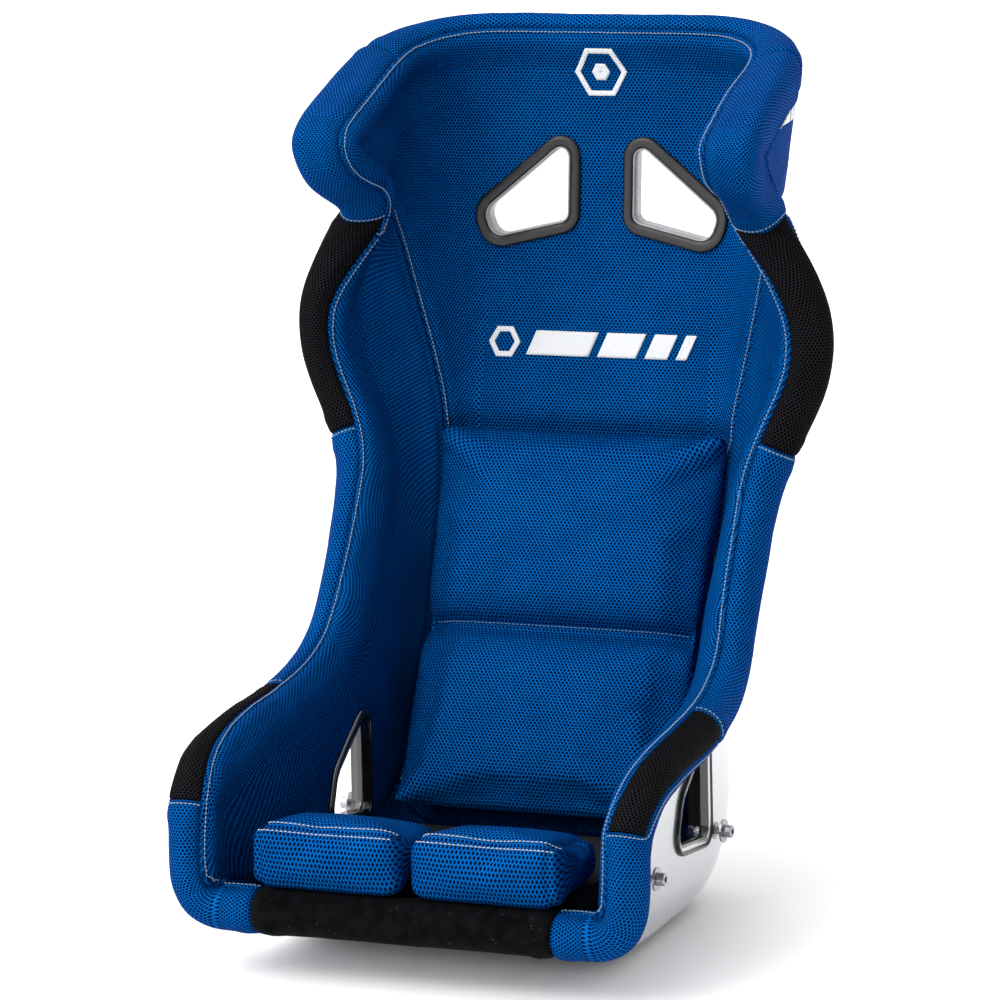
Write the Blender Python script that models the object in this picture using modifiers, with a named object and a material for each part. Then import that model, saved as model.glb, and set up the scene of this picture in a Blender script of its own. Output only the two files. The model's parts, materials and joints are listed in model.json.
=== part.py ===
"""Racing bucket seat: a one-piece moulded shell, its upholstery, belt slots, loose pads and side fixings.

Metres, +Z up. The sitter faces -Y and the seat is symmetric about the plane X = 0.
"left" and "right" are the sitter's, so the left side is at +X.

The inner face of the shell is one surface, swept along the seat from the front lip to the head top.
Each station joins a point of the centre line to a point of the shell's edge. Every lining, bolster and
patch is a layer laid over that same surface, so that all layers stay parallel.
"""

import math
from collections import namedtuple

import bmesh
import bpy
from mathutils import Vector
from mathutils.bvhtree import BVHTree

PARTS = "racing_seat"
CUTTERS = "racing_seat_cutters"
ORIGIN = "seat_origin"

SHELL = 0.0045          # wall of the moulded shell
LINING = 0.0125         # foam and cloth on the inner face
WING_FOAM = 0.028       # extra foam inside the head wings
GAP = 0.0004            # clearance between layers
OUTER_GAP = 0.0027      # clearance outside the shell
SPLIT = 0.0011          # how far the cloth pieces draw back from a seam
COVER = 0.0060          # padded cover outside a head wing
EDGE_STEP = 0.019       # spacing of the two grid lines that follow the shell's edge

# One row per station: centre line (y, z), shell edge (x, y, z), half width where the wall starts and
# where it begins to flare, corner radius, and how far the section bulges off its own plane.
Station = namedtuple("Station", "cy cz ex ey ez base top radius bulge")
STATIONS = (
    Station(-0.293, 0.062, 0.230, -0.285, 0.166, 0.227, 0.229, 0.032, 0.000),
    Station(-0.245, 0.036, 0.231, -0.245, 0.195, 0.211, 0.215, 0.043, 0.000),
    Station(-0.180, 0.013, 0.230, -0.180, 0.207, 0.198, 0.202, 0.042, 0.000),
    Station(-0.105, 0.0045, 0.227, -0.103, 0.212, 0.192, 0.194, 0.040, 0.000),
    Station(-0.025, 0.0045, 0.224, -0.034, 0.222, 0.191, 0.192, 0.040, 0.000),
    Station(0.048, 0.0045, 0.220, 0.021, 0.247, 0.190, 0.190, 0.045, 0.000),
    Station(0.110, 0.040, 0.217, 0.050, 0.279, 0.186, 0.187, 0.055, 0.000),
    Station(0.140, 0.100, 0.216, 0.071, 0.312, 0.180, 0.186, 0.060, 0.000),
    Station(0.165, 0.185, 0.217, 0.092, 0.345, 0.172, 0.186, 0.060, 0.000),
    Station(0.192, 0.280, 0.219, 0.114, 0.384, 0.165, 0.188, 0.058, 0.000),
    Station(0.218, 0.370, 0.224, 0.135, 0.423, 0.158, 0.191, 0.056, 0.000),
    Station(0.244, 0.455, 0.240, 0.150, 0.468, 0.152, 0.204, 0.056, 0.000),
    Station(0.267, 0.540, 0.266, 0.157, 0.526, 0.150, 0.220, 0.060, 0.000),
    Station(0.284, 0.620, 0.269, 0.158, 0.586, 0.154, 0.226, 0.064, 0.000),
    Station(0.293, 0.678, 0.246, 0.163, 0.642, 0.168, 0.224, 0.072, 0.000),
    Station(0.299, 0.728, 0.223, 0.156, 0.688, 0.192, 0.224, 0.084, 0.000),
    Station(0.303, 0.770, 0.229, 0.126, 0.713, 0.210, 0.229, 0.094, 0.002),
    Station(0.304, 0.808, 0.236, 0.088, 0.736, 0.224, 0.235, 0.102, 0.004),
    Station(0.301, 0.848, 0.240, 0.066, 0.765, 0.228, 0.238, 0.112, 0.006),
)
FLARE_DEPTH = 0.048     # height over which the wall turns out to its edge
CENTRING = 0.00070      # moves the whole seat along Y, so that its box is centred on the origin
FLOOR_SKIN = SHELL      # lowest height of the inner face, so that the shell's underside rests at z = 0

# Where the grid rows lie, counted in stations. The first and last three follow the shell's edge.
ROW_AT = (
    0.0, 0.36, 0.74, 1.3, 2.0, 2.65, 3.3, 4.0, 4.6, 5.2, 6.0, 6.7, 7.4, 8.2, 9.0, 9.9, 10.7,
    11.6, 12.5, 13.4, 14.2, 14.9, 15.5, 16.1, 16.6, 17.05, 17.52, 18.0,
)
LAST_ROW = len(ROW_AT) - 1
FLAT_STEPS, ARC_STEPS, WALL_STEPS, EDGE_STEPS = 3, 4, 2, 2
LAST_COLUMN = FLAT_STEPS + ARC_STEPS + WALL_STEPS + EDGE_STEPS
LIP_END = FLAT_STEPS                          # column where the lip trim meets the thigh bolster
SIDE_SEAM = FLAT_STEPS + ARC_STEPS - 1        # column where the back lining meets the side lining

MOUNT_HOLES = ((0.038, 0.081), (-0.182, 0.093))      # side fixings: (y, z), rear then front
BOSS_RADIUS, BOSS_PROUD = 0.0090, 0.0045
HUB_RADIUS = 0.0075                                  # the insert where it goes through the shell wall
FLANGE_RADIUS, FLANGE_THICKNESS = 0.0115, 0.0015
WALL_CLEARANCE = 0.0022                              # boss and flange stand this far off the curved wall
SHANK_RADIUS, BORE_RADIUS = 0.0040, 0.0043           # M8
WASHER_RADIUS, WASHER_THICKNESS = 0.0120, 0.0020
HEAD_RADIUS, HEAD_HEIGHT = 0.0065, 0.0080
SOCKET_RADIUS, SOCKET_DEPTH = 0.0034, 0.0040
CHAMFER = 0.0007
GRIP = 0.0060                                        # free shank between boss and washer
BOLT_SEATING = 0.0003                                # gap under the bolt's head
HOLE_REACH = 0.0300                                  # how far the hole cutters reach either side of the wall
ROUND_STEPS = 18

# Belt slots: corners of the rounded outline and its corner radii.
SHOULDER_SLOT = (((0.037, 0.660), 0.010), ((0.120, 0.641), 0.014),
                 ((0.130, 0.668), 0.014), ((0.037, 0.744), 0.009))
LAP_SLOT = (((-0.070, 0.092), 0.012), ((0.020, 0.080), 0.010),
            ((0.024, 0.186), 0.006), ((-0.052, 0.136), 0.030))
CROTCH_SLOT = (((-0.030, -0.150), 0.009), ((0.030, -0.150), 0.009),
               ((0.030, -0.126), 0.009), ((-0.030, -0.126), 0.009))
SLEEVE = 0.0016         # wall of a slot's sleeve
SLEEVE_PROUD = 0.0010   # how far a sleeve stands out of the lining and of the shell
SLOT_GAP = 0.0003       # clearance round a sleeve
BEZEL_WIDTH = 0.0130
BEZEL_HEIGHT = 0.0035
LAP_BEZEL_WIDTH = 0.0075
SEAL_WIDTH = 0.0055
SEAL_HEIGHT = 0.0028
STAND_OFF = 0.0012      # bezels and seals stand this far off the curved faces they lie on

BACK_PAD_LOW = Vector((0.0, 0.038, 0.077))     # front face of the back pad, lower and upper end
BACK_PAD_HIGH = Vector((0.0, 0.214, 0.446))
BACK_PAD_HALF_WIDTH = 0.150
BACK_PAD_EDGE = 0.012   # least thickness of the back pad
BACK_PAD_SEAM = 0.486   # share of its height where the cross seam lies
BACK_PAD_CROWN = 0.010
HOOK_TAPE = 0.0015
BACK_TAPE_X = 0.075
SEAT_TAPE_Y = -0.215
SEAT_PAD_TOP = 0.0885
SEAT_PAD_FRONT, SEAT_PAD_REAR = -0.244, 0.036
SEAT_PAD_BEND, SEAT_PAD_FALL = -0.174, 0.0235    # behind the thigh pads its top slopes down by this much
SEAT_PAD_HALF_WIDTH = 0.158
THIGH_PAD_X = (0.0030, 0.1650)
THIGH_PAD_Y = (-0.3050, -0.1880)                # front and rear
THIGH_PAD_HEIGHT = (0.0650, 0.0450)             # at the front and at the rear

COLOURS = {
    "silver_shell": ((0.62, 0.64, 0.66), 0.12, 0.85),
    "blue_mesh": ((0.010, 0.105, 0.420), 0.85, 0.0),
    "black_mesh": ((0.012, 0.012, 0.014), 0.90, 0.0),
    "black_suede": ((0.010, 0.010, 0.012), 0.95, 0.0),
    "black_plastic": ((0.020, 0.020, 0.022), 0.38, 0.0),
    "grey_sleeve": ((0.52, 0.53, 0.54), 0.30, 0.2),
    "rubber_seal": ((0.012, 0.012, 0.012), 0.45, 0.0),
    "bright_steel": ((0.78, 0.79, 0.80), 0.16, 1.0),
    "zinc_insert": ((0.60, 0.61, 0.62), 0.30, 1.0),
    "hook_tape": ((0.015, 0.015, 0.016), 0.95, 0.0),
    "base_foam": ((0.014, 0.015, 0.018), 0.95, 0.0),
}


# ---------------------------------------------------------------- scene

def clear_scene():
    for item in list(bpy.data.objects):
        bpy.data.objects.remove(item, do_unlink=True)


def add_origin():
    """The empty that every piece is parented to."""
    origin = bpy.data.objects.new(ORIGIN, None)
    origin.location = (0.0, CENTRING, 0.0)
    collection(PARTS).objects.link(origin)


def collection(name):
    found = bpy.data.collections.get(name)
    if found is None:
        found = bpy.data.collections.new(name)
        bpy.context.scene.collection.children.link(found)
    return found


def material(name, slot):
    colour, roughness, metallic = COLOURS[slot]
    made = bpy.data.materials.new(name)
    made.use_nodes = True
    shader = made.node_tree.nodes["Principled BSDF"]
    shader.inputs["Base Color"].default_value = (*colour, 1.0)
    shader.inputs["Roughness"].default_value = roughness
    shader.inputs["Metallic"].default_value = metallic
    return made


def add_object(name, bm, slot, sharp_angle=40.0):
    """Turn a bmesh into a named object with its own material, smooth across blunt edges."""
    bmesh.ops.remove_doubles(bm, verts=bm.verts, dist=1e-6)
    bmesh.ops.dissolve_degenerate(bm, edges=bm.edges, dist=1e-7)
    mesh = bpy.data.meshes.new(name)
    bm.to_mesh(mesh)
    bm.free()
    mesh.shade_smooth()
    mesh.set_sharp_from_angle(angle=math.radians(sharp_angle))
    made = bpy.data.objects.new(name, mesh)
    made.parent = bpy.data.objects[ORIGIN]
    collection(PARTS).objects.link(made)
    mesh.materials.append(material(name, slot))
    return made


def add_mirror(target):
    modifier = target.modifiers.new("Mirror", "MIRROR")
    modifier.use_axis = (True, False, False)
    modifier.use_clip = True
    modifier.merge_threshold = 0.0001


def add_cut(target, cutter):
    modifier = target.modifiers.new("Cut", "BOOLEAN")
    modifier.operation = "DIFFERENCE"
    modifier.solver = "EXACT"
    modifier.object = cutter


def add_cutter(name, bm, location=(0.0, 0.0, 0.0), rotation=(0.0, 0.0, 0.0)):
    mesh = bpy.data.meshes.new(name)
    bm.to_mesh(mesh)
    bm.free()
    made = bpy.data.objects.new(name, mesh)
    made.parent = bpy.data.objects[ORIGIN]
    made.location = location
    made.rotation_euler = rotation
    made.hide_render = True
    made.display_type = "WIRE"
    collection(CUTTERS).objects.link(made)
    return made


# ---------------------------------------------------------------- the reference surface

def station_at(t):
    """A station between the given ones, by a Catmull-Rom curve through all its values."""
    last = len(STATIONS) - 1
    i = min(int(t), last - 1)
    f = t - i
    a, b, c, d = (STATIONS[max(0, min(last, n))] for n in (i - 1, i, i + 1, i + 2))
    values = []
    for p, q, r, s in zip(a, b, c, d):
        values.append(q + 0.5 * f * (r - p + f * (2 * p - 5 * q + 4 * r - s + f * (3 * (q - r) + s - p))))
    made = Station(*values)
    return made._replace(cz=max(made.cz, FLOOR_SKIN))


def section_outline(st):
    """The section in its own plane as (half width, height) points.

    Also returns the lengths along it where its flat part and its arc end.
    """
    height = math.hypot(st.ey - st.cy, st.ez - st.cz)
    wall_top = max(height - FLARE_DEPTH, 0.35 * height)
    lean = math.atan2(st.top - st.base, wall_top)
    turn = math.pi / 2 - lean
    wall = math.hypot(st.top - st.base, wall_top)
    tangent = min(st.radius * math.tan(turn / 2), 0.94 * wall)
    radius = tangent / math.tan(turn / 2)
    flat_end = st.base - tangent
    points = [(flat_end * n / 8, 0.0) for n in range(9)]
    for n in range(1, 17):
        angle = turn * n / 16
        points.append((flat_end + radius * math.sin(angle), radius * (1 - math.cos(angle))))
    x, h = points[-1]
    for n in range(1, 9):
        points.append((x + (st.top - x) * n / 8, h + (wall_top - h) * n / 8))
    bend = (st.top + 0.25 * (st.top - st.base), wall_top + 0.62 * (height - wall_top))
    for n in range(1, 13):
        f = n / 12
        points.append(tuple(
            (1 - f) ** 2 * p + 2 * f * (1 - f) * q + f * f * r
            for p, q, r in zip((st.top, wall_top), bend, (st.ex, height))
        ))
    return points, flat_end, flat_end + radius * turn


def cumulative(points):
    lengths = [0.0]
    for p, q in zip(points, points[1:]):
        lengths.append(lengths[-1] + math.dist(p, q))
    return lengths


def at_length(points, lengths, wanted):
    for n in range(1, len(points)):
        if lengths[n] >= wanted or n == len(points) - 1:
            span = lengths[n] - lengths[n - 1]
            f = (wanted - lengths[n - 1]) / span if span > 1e-12 else 0.0
            f = max(0.0, min(1.0, f))
            return tuple(p + f * (q - p) for p, q in zip(points[n - 1], points[n]))
    return points[-1]


def section_points(t):
    """The grid points of one row, from the centre line to the shell's edge."""
    st = station_at(t)
    outline, flat_end, arc_end = section_outline(st)
    lengths = cumulative(outline)
    total = lengths[-1]
    wall_end = total - EDGE_STEPS * EDGE_STEP
    arc_end = min(arc_end, wall_end - 0.004)
    stops = [flat_end * n / FLAT_STEPS for n in range(FLAT_STEPS + 1)]
    stops += [flat_end + (arc_end - flat_end) * n / ARC_STEPS for n in range(1, ARC_STEPS + 1)]
    stops += [arc_end + (wall_end - arc_end) * n / WALL_STEPS for n in range(1, WALL_STEPS + 1)]
    stops += [wall_end + EDGE_STEP * n for n in range(1, EDGE_STEPS + 1)]
    up = Vector((0.0, st.ey - st.cy, st.ez - st.cz))
    height = up.length
    up.normalize()
    across = Vector((0.0, up.z, -up.y))
    if across.z < 0:
        across.negate()
    row = []
    for stop in stops:
        x, h = at_length(outline, lengths, stop)
        share = h / height
        row.append(Vector((x, st.cy, st.cz)) + up * h + across * (st.bulge * 4 * share * (1 - share)))
    row[0].x = 0.0
    return row


def surface_grid():
    return [section_points(t) for t in ROW_AT]


def grid_normals(grid):
    """Unit normals at the grid points, pointing out of the seat."""
    rows, columns = len(grid), len(grid[0])
    normals = [[Vector() for _ in range(columns)] for _ in range(rows)]
    for i in range(rows - 1):
        for j in range(columns - 1):
            a, b, c, d = grid[i][j], grid[i][j + 1], grid[i + 1][j + 1], grid[i + 1][j]
            face = (b - a).cross(c - a) + (c - a).cross(d - a)
            if face.length > 1e-12:
                face.normalize()
            for m, n in ((i, j), (i, j + 1), (i + 1, j + 1), (i + 1, j)):
                normals[m][n] += face
    pan = normals[rows // 4][0]
    sign = -1.0 if pan.z > 0 else 1.0
    for row in normals:
        row[0].x = 0.0
        for normal in row:
            normal.normalize()
            normal *= sign
    return normals


GRID = surface_grid()
NORMALS = grid_normals(GRID)


def layer_point(i, j, depth):
    """A point over grid point (i, j). Positive depth goes out through the shell, negative goes inwards."""
    return GRID[i][j] + NORMALS[i][j] * depth


def smooth_step(value, low, high):
    f = max(0.0, min(1.0, (value - low) / (high - low)))
    return f * f * (3 - 2 * f)


def wing_share(i, j):
    """0 over most of the seat and 1 inside the head wings, where the foam is thickest."""
    return smooth_step(ROW_AT[i], 13.6, 16.6) * smooth_step(j, FLAT_STEPS, LAST_COLUMN - 3)


def lining_depth(i, j):
    return -LINING - WING_FOAM * wing_share(i, j)


def row_of(t):
    return min(range(len(ROW_AT)), key=lambda n: abs(ROW_AT[n] - t))


# ---------------------------------------------------------------- solids

def mirrored(point, side):
    return Vector((point.x * side, point.y, point.z))


def face(bm, verts, side):
    ring = list(dict.fromkeys(verts))
    if len(ring) < 3:
        return
    if side < 0:
        ring.reverse()
    if bm.faces.get(ring) is None:
        bm.faces.new(ring)


def split_quad(bm, a, b, c, d, side):
    """Two triangles that share the diagonal a-c, so that parallel layers stay parallel on twisted quads."""
    face(bm, (a, b, c), side)
    face(bm, (a, c, d), side)


def hug_depth(i, j):
    return -GAP


def cover_inner(i, j):
    return SHELL + OUTER_GAP


def cover_outer(i, j):
    return SHELL + OUTER_GAP + COVER


def layered_solid(name, slot, rows, columns, side=1, half=False, trim=(1, 1, 1, 1),
                  depths=(lining_depth, hug_depth)):
    """A piece over part of the grid, between two depths. Without depths it is a lining inside the shell.

    trim says which of its edges (first row, last row, first column, last column) draw back from a seam.
    half leaves it open at X = 0 for a Mirror.
    """
    row_list = list(range(rows[0], rows[1] + 1))
    column_list = list(range(columns[0], columns[1] + 1))

    def place(m, n, depth):
        i, j = row_list[m], column_list[n]

        def over(p, q):
            return layer_point(p, q, depth(p, q))

        point = over(i, j)
        if m == 0 and trim[0]:
            point += (over(i + 1, j) - point).normalized() * SPLIT
        if m == len(row_list) - 1 and trim[1]:
            point += (over(i - 1, j) - point).normalized() * SPLIT
        if n == 0 and trim[2]:
            point += (over(i, j + 1) - point).normalized() * SPLIT
        if n == len(column_list) - 1 and trim[3]:
            point += (over(i, j - 1) - point).normalized() * SPLIT
        if half and n == 0:
            point.x = 0.0
        return mirrored(point, side)

    bm = bmesh.new()
    height, width = len(row_list), len(column_list)
    near = [[bm.verts.new(place(m, n, depths[0])) for n in range(width)] for m in range(height)]
    far = [[bm.verts.new(place(m, n, depths[1])) for n in range(width)] for m in range(height)]
    for m in range(height - 1):
        for n in range(width - 1):
            split_quad(bm, near[m][n], near[m][n + 1], near[m + 1][n + 1], near[m + 1][n], side)
            split_quad(bm, far[m][n], far[m + 1][n], far[m + 1][n + 1], far[m][n + 1], side)
    for n in range(width - 1):
        face(bm, (near[0][n], far[0][n], far[0][n + 1], near[0][n + 1]), side)
        face(bm, (near[-1][n + 1], far[-1][n + 1], far[-1][n], near[-1][n]), side)
    for m in range(height - 1):
        if not half:
            face(bm, (near[m + 1][0], far[m + 1][0], far[m][0], near[m][0]), side)
        face(bm, (near[m][-1], far[m][-1], far[m + 1][-1], near[m + 1][-1]), side)
    made = add_object(name, bm, slot)
    if half:
        add_mirror(made)
    return made


def fix_winding(target):
    """Turn every face outwards, judged over the closed body that the modifiers give."""
    bm = bmesh.new()
    bm.from_mesh(target.data)
    evaluated = target.evaluated_get(bpy.context.evaluated_depsgraph_get())
    whole = evaluated.to_mesh()
    volume = 0.0
    for polygon in whole.polygons:
        a = whole.vertices[polygon.vertices[0]].co
        for n in range(1, len(polygon.vertices) - 1):
            b = whole.vertices[polygon.vertices[n]].co
            c = whole.vertices[polygon.vertices[n + 1]].co
            volume += a.dot(b.cross(c))
    evaluated.to_mesh_clear()
    if volume < 0:
        bmesh.ops.reverse_faces(bm, faces=bm.faces)
        bm.to_mesh(target.data)
    bm.free()


# ---------------------------------------------------------------- the edge roll

EDGE_PATH = (
    [(0, j) for j in range(LAST_COLUMN + 1)]
    + [(i, LAST_COLUMN) for i in range(1, LAST_ROW + 1)]
    + [(LAST_ROW, j) for j in range(LAST_COLUMN - 1, -1, -1)]
)

# The roll's section: how far past the shell's edge, and how far out from the shell's inner face.
# The first six points hug the shell, inside and outside. The rest are the padded surface.
ROLL_HUG = ((-2, -GAP), (-1, -GAP), (0, -GAP), (0, SHELL + OUTER_GAP), (-1, SHELL + OUTER_GAP), (-1, 0.0125))
ROLL_FACE = (
    (-0.008, 0.0200), (0.007, 0.0215), (0.0195, 0.0130), (0.0245, -0.0020), (0.0185, -0.0165),
    (0.0040, -0.0245), (-0.0130, -0.0262), (-0.0290, -0.0190),
)
PATCH_MARGIN = 0.003    # how far a patch stays back from the seams at its ends
ROLL_LEAD = 0.0016      # how far the hugging points pass the shell's edge


def path_point(step, ring):
    """The grid index on the edge path, moved ring steps inwards."""
    i, j = EDGE_PATH[step]
    i = max(ring, min(LAST_ROW - ring, i))
    return i, min(LAST_COLUMN - ring, j)


def edge_frame(step):
    """At a point of the shell's edge: the point, the way out past the edge, and the outer normal."""
    here = GRID[EDGE_PATH[step][0]][EDGE_PATH[step][1]]
    i, j = EDGE_PATH[step]
    normal = NORMALS[i][j]
    before = GRID[EDGE_PATH[max(step - 1, 0)][0]][EDGE_PATH[max(step - 1, 0)][1]]
    ahead = min(step + 1, len(EDGE_PATH) - 1)
    after = GRID[EDGE_PATH[ahead][0]][EDGE_PATH[ahead][1]]
    along = after - before
    if j == 0:
        along = Vector((1.0, 0.0, 0.0))
    m, n = path_point(step, 1)
    out = here - GRID[m][n]
    along.normalize()
    out -= along * out.dot(along)
    out -= normal * out.dot(normal)
    out.normalize()
    return here, out, normal


def roll_scales(step):
    """How much deeper than normal the roll is inside the seat, and outside it."""
    i, j = EDGE_PATH[step]
    foam = wing_share(i, j)
    top = smooth_step(-j, -SIDE_SEAM - 1, -LIP_END) if i == LAST_ROW else 0.0
    return 1 + foam * WING_FOAM / -ROLL_FACE[-2][1] - 0.35 * top, 1 - 0.45 * max(foam, top)


def roll_ring(step):
    here, out, normal = edge_frame(step)
    inward, outward = roll_scales(step)
    ring = []
    for index, depth in ROLL_HUG:
        if index == 0:
            ring.append(here + out * ROLL_LEAD + normal * depth)
        else:
            i, j = path_point(step, -index)
            ring.append(layer_point(i, j, depth))
    for past, plain_depth in ROLL_FACE:
        depth = plain_depth * (inward if plain_depth < 0 else outward)
        if past >= 0:
            ring.append(here + out * past + normal * depth)
        else:
            share = -past / EDGE_STEP
            whole = min(int(share), 1)
            i, j = path_point(step, whole)
            m, n = path_point(step, whole + 1)
            near = here + normal * depth if whole == 0 else layer_point(i, j, depth)
            far = layer_point(m, n, depth)
            ring.append(near.lerp(far, share - whole))
    i, j = path_point(step, 2)
    ring.append(layer_point(i, j, lining_depth(i, j)))
    if EDGE_PATH[step][1] == 0:
        for point in ring:
            point.x = 0.0
    return ring


ROLL_RINGS = [roll_ring(step) for step in range(len(EDGE_PATH))]


# Triangles that close the end of a roll, and of a patch, by their ring points.
ROLL_CAP = (
    (0, 1, 14), (1, 13, 14), (1, 12, 13), (1, 2, 12), (2, 11, 12), (2, 10, 11), (2, 9, 10),
    (2, 3, 9), (3, 8, 9), (3, 7, 8), (3, 6, 7), (3, 4, 6), (4, 5, 6),
)
PATCH_CAP = ((0, 1, 9), (1, 8, 9), (1, 2, 8), (2, 7, 8), (2, 3, 7), (3, 6, 7), (3, 4, 6), (4, 5, 6))


def swept_solid(name, slot, rings, first_step, cap, side=1, half_start=False, half_end=False):
    """A body through closed rings of equal size, capped at its ends, or open at X = 0 for a Mirror.

    first_step is the first ring's place on the edge path. Its quads are split as the shell's are.
    """
    bm = bmesh.new()
    loops = [[bm.verts.new(mirrored(point, side)) for point in ring] for ring in rings]
    size = len(rings[0])
    for step, (a, b) in enumerate(zip(loops, loops[1:]), first_step):
        for n in range(size):
            m = (n + 1) % size
            if LAST_COLUMN <= step < LAST_COLUMN + LAST_ROW:
                split_quad(bm, a[n], a[m], b[m], b[n], side)
            else:
                split_quad(bm, a[m], b[m], b[n], a[n], side)
    for p, q, r in cap:
        if not half_start:
            face(bm, (loops[0][r], loops[0][q], loops[0][p]), side)
        if not half_end:
            face(bm, (loops[-1][p], loops[-1][q], loops[-1][r]), side)
    made = add_object(name, bm, slot)
    if half_start or half_end:
        add_mirror(made)
    fix_winding(made)
    return made


def drawn_back(ring, neighbour, distance):
    """A ring moved towards its neighbour by a distance. Points that the two share stay where they are."""
    moved = []
    for p, q in zip(ring, neighbour):
        way = q - p
        moved.append(p + way.normalized() * distance if way.length > 1e-6 else p)
    return moved


def trimmed(rings, start, end):
    """Draw the end rings back from a seam by the given distances, so that neighbours don't touch."""
    made = [list(ring) for ring in rings]
    made[0] = drawn_back(rings[0], rings[1], start)
    made[-1] = drawn_back(rings[-1], rings[-2], end)
    return made


def step_of_row(t):
    return LAST_COLUMN + row_of(t)


def step_of_head_column(j):
    return LAST_COLUMN + LAST_ROW + LAST_COLUMN - j


def roll_piece(name, slot, first, last, side=1):
    half_start, half_end = first == 0, last == len(EDGE_PATH) - 1
    rings = trimmed(ROLL_RINGS[first:last + 1], 0.0 if half_start else SPLIT, 0.0 if half_end else SPLIT)
    return swept_solid(name, slot, rings, first, ROLL_CAP, side, half_start, half_end)


def patch_piece(name, slot, first, last, points, side=1):
    """A thin cloth patch over part of the roll's padded surface."""
    offset, thickness = 0.0004, 0.0012
    rings = []
    for step in range(first, last + 1):
        ring = ROLL_RINGS[step]
        centre = sum((ring[n] for n in (2, 3)), Vector()) / 2
        low = [ring[n] + (ring[n] - centre).normalized() * offset for n in points]
        high = [ring[n] + (ring[n] - centre).normalized() * (offset + thickness) for n in points]
        rings.append(low + high[::-1])
    return swept_solid(name, slot, trimmed(rings, PATCH_MARGIN, PATCH_MARGIN), first, PATCH_CAP, side)


# ---------------------------------------------------------------- slots

def rounded_outline(corners, grow=0.0, arc=4):
    """A closed outline with round corners, grown outwards by a distance. Corners run anticlockwise."""
    points = []
    count = len(corners)
    for n in range(count):
        (corner, radius) = corners[n]
        here = Vector(corner)
        before = (Vector(corners[n - 1][0]) - here).normalized()
        after = (Vector(corners[(n + 1) % count][0]) - here).normalized()
        half = before.angle(after) / 2
        centre = here + (before + after).normalized() * (radius / math.sin(half))
        first = math.atan2(before.x, -before.y)
        turn = math.pi - 2 * half
        for step in range(arc + 1):
            angle = first + turn * step / arc
            spoke = Vector((math.cos(angle), math.sin(angle)))
            points.append(centre + spoke * (radius + grow))
    return points


def surface_tree(depth_at):
    """A search tree of the reference surface moved by a depth, both halves."""
    verts, faces = [], []
    for side in (1, -1):
        start = len(verts)
        for i in range(LAST_ROW + 1):
            for j in range(LAST_COLUMN + 1):
                verts.append(mirrored(layer_point(i, j, depth_at(i, j)), side))
        width = LAST_COLUMN + 1
        for i in range(LAST_ROW):
            for j in range(LAST_COLUMN):
                a = start + i * width + j
                faces.append((a, a + 1, a + width + 1, a + width))
    return BVHTree.FromPolygons(verts, faces)


INNER_FACE = surface_tree(lining_depth)
OUTER_FACE = surface_tree(lambda i, j: SHELL)


def axis_place(axis, u, v, w):
    """A point from two outline coordinates and one along the slot's axis."""
    if axis == "Y":
        return Vector((u, w, v))
    if axis == "X":
        return Vector((w, u, v))
    return Vector((u, v, w))


AXIS_VECTOR = {"X": Vector((1, 0, 0)), "Y": Vector((0, 1, 0)), "Z": Vector((0, 0, -1))}
RAY_START = {"X": 0.0, "Y": 0.0, "Z": 0.09}


def axis_hit(tree, axis, u, v):
    """Where a ray from inside the seat, along the slot's axis, meets a face of the seat."""
    start = axis_place(axis, u, v, RAY_START[axis])
    place, _, _, _ = tree.ray_cast(start, AXIS_VECTOR[axis])
    return place


def tube_through(name, slot, axis, corners, grow_in, grow_out, near, far, side=1):
    """A ring between two outlines. near and far are (face, distance beyond it along the axis)."""
    inner = rounded_outline(corners, grow_in)
    outer = rounded_outline(corners, grow_out)
    rings = []
    for p, q in zip(inner, outer):
        ring = []
        for point, (tree, beyond) in ((p, near), (p, far), (q, far), (q, near)):
            ring.append(axis_hit(tree, axis, *point) + AXIS_VECTOR[axis] * beyond)
        rings.append(ring)
    bm = bmesh.new()
    loops = [[bm.verts.new(mirrored(point, side)) for point in ring] for ring in rings]
    for a, b in zip(loops, loops[1:] + loops[:1]):
        for n in range(4):
            m = (n + 1) % 4
            face(bm, (a[n], a[m], b[m], b[n]), side)
    made = add_object(name, bm, slot)
    fix_winding(made)
    return made


def slot_pieces(name, word, axis, corners, sleeve_slot, bezel_width, stand_off, side):
    """The sleeve, the bezel inside the seat and the rubber seal outside it, for one belt slot."""
    edge = SLEEVE + SLOT_GAP
    tube_through(f"{name}_sleeve_{word}", sleeve_slot, axis, corners, 0.0, SLEEVE,
                 (INNER_FACE, -SLEEVE_PROUD), (OUTER_FACE, SLEEVE_PROUD), side)
    tube_through(f"{name}_bezel_{word}", "black_plastic", axis, corners, edge, bezel_width,
                 (INNER_FACE, -BEZEL_HEIGHT - stand_off), (INNER_FACE, -stand_off), side)
    tube_through(f"{name}_seal_{word}", "rubber_seal", axis, corners, edge, SLEEVE + SEAL_WIDTH,
                 (OUTER_FACE, STAND_OFF), (OUTER_FACE, STAND_OFF + SEAL_HEIGHT), side)


def slot_cutter(name, axis, corners, grow, span, side=1):
    """A prism with the slot's outline, along its axis from span[0] to span[1]."""
    outline = rounded_outline(corners, grow)
    bm = bmesh.new()
    low = [bm.verts.new(mirrored(axis_place(axis, p.x, p.y, span[0]), side)) for p in outline]
    high = [bm.verts.new(mirrored(axis_place(axis, p.x, p.y, span[1]), side)) for p in outline]
    count = len(outline)
    for n in range(count):
        m = (n + 1) % count
        bm.faces.new((low[n], low[m], high[m], high[n]))
    bm.faces.new(tuple(reversed(low)))
    bm.faces.new(tuple(high))
    bmesh.ops.recalc_face_normals(bm, faces=bm.faces)
    return add_cutter(name, bm)


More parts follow.
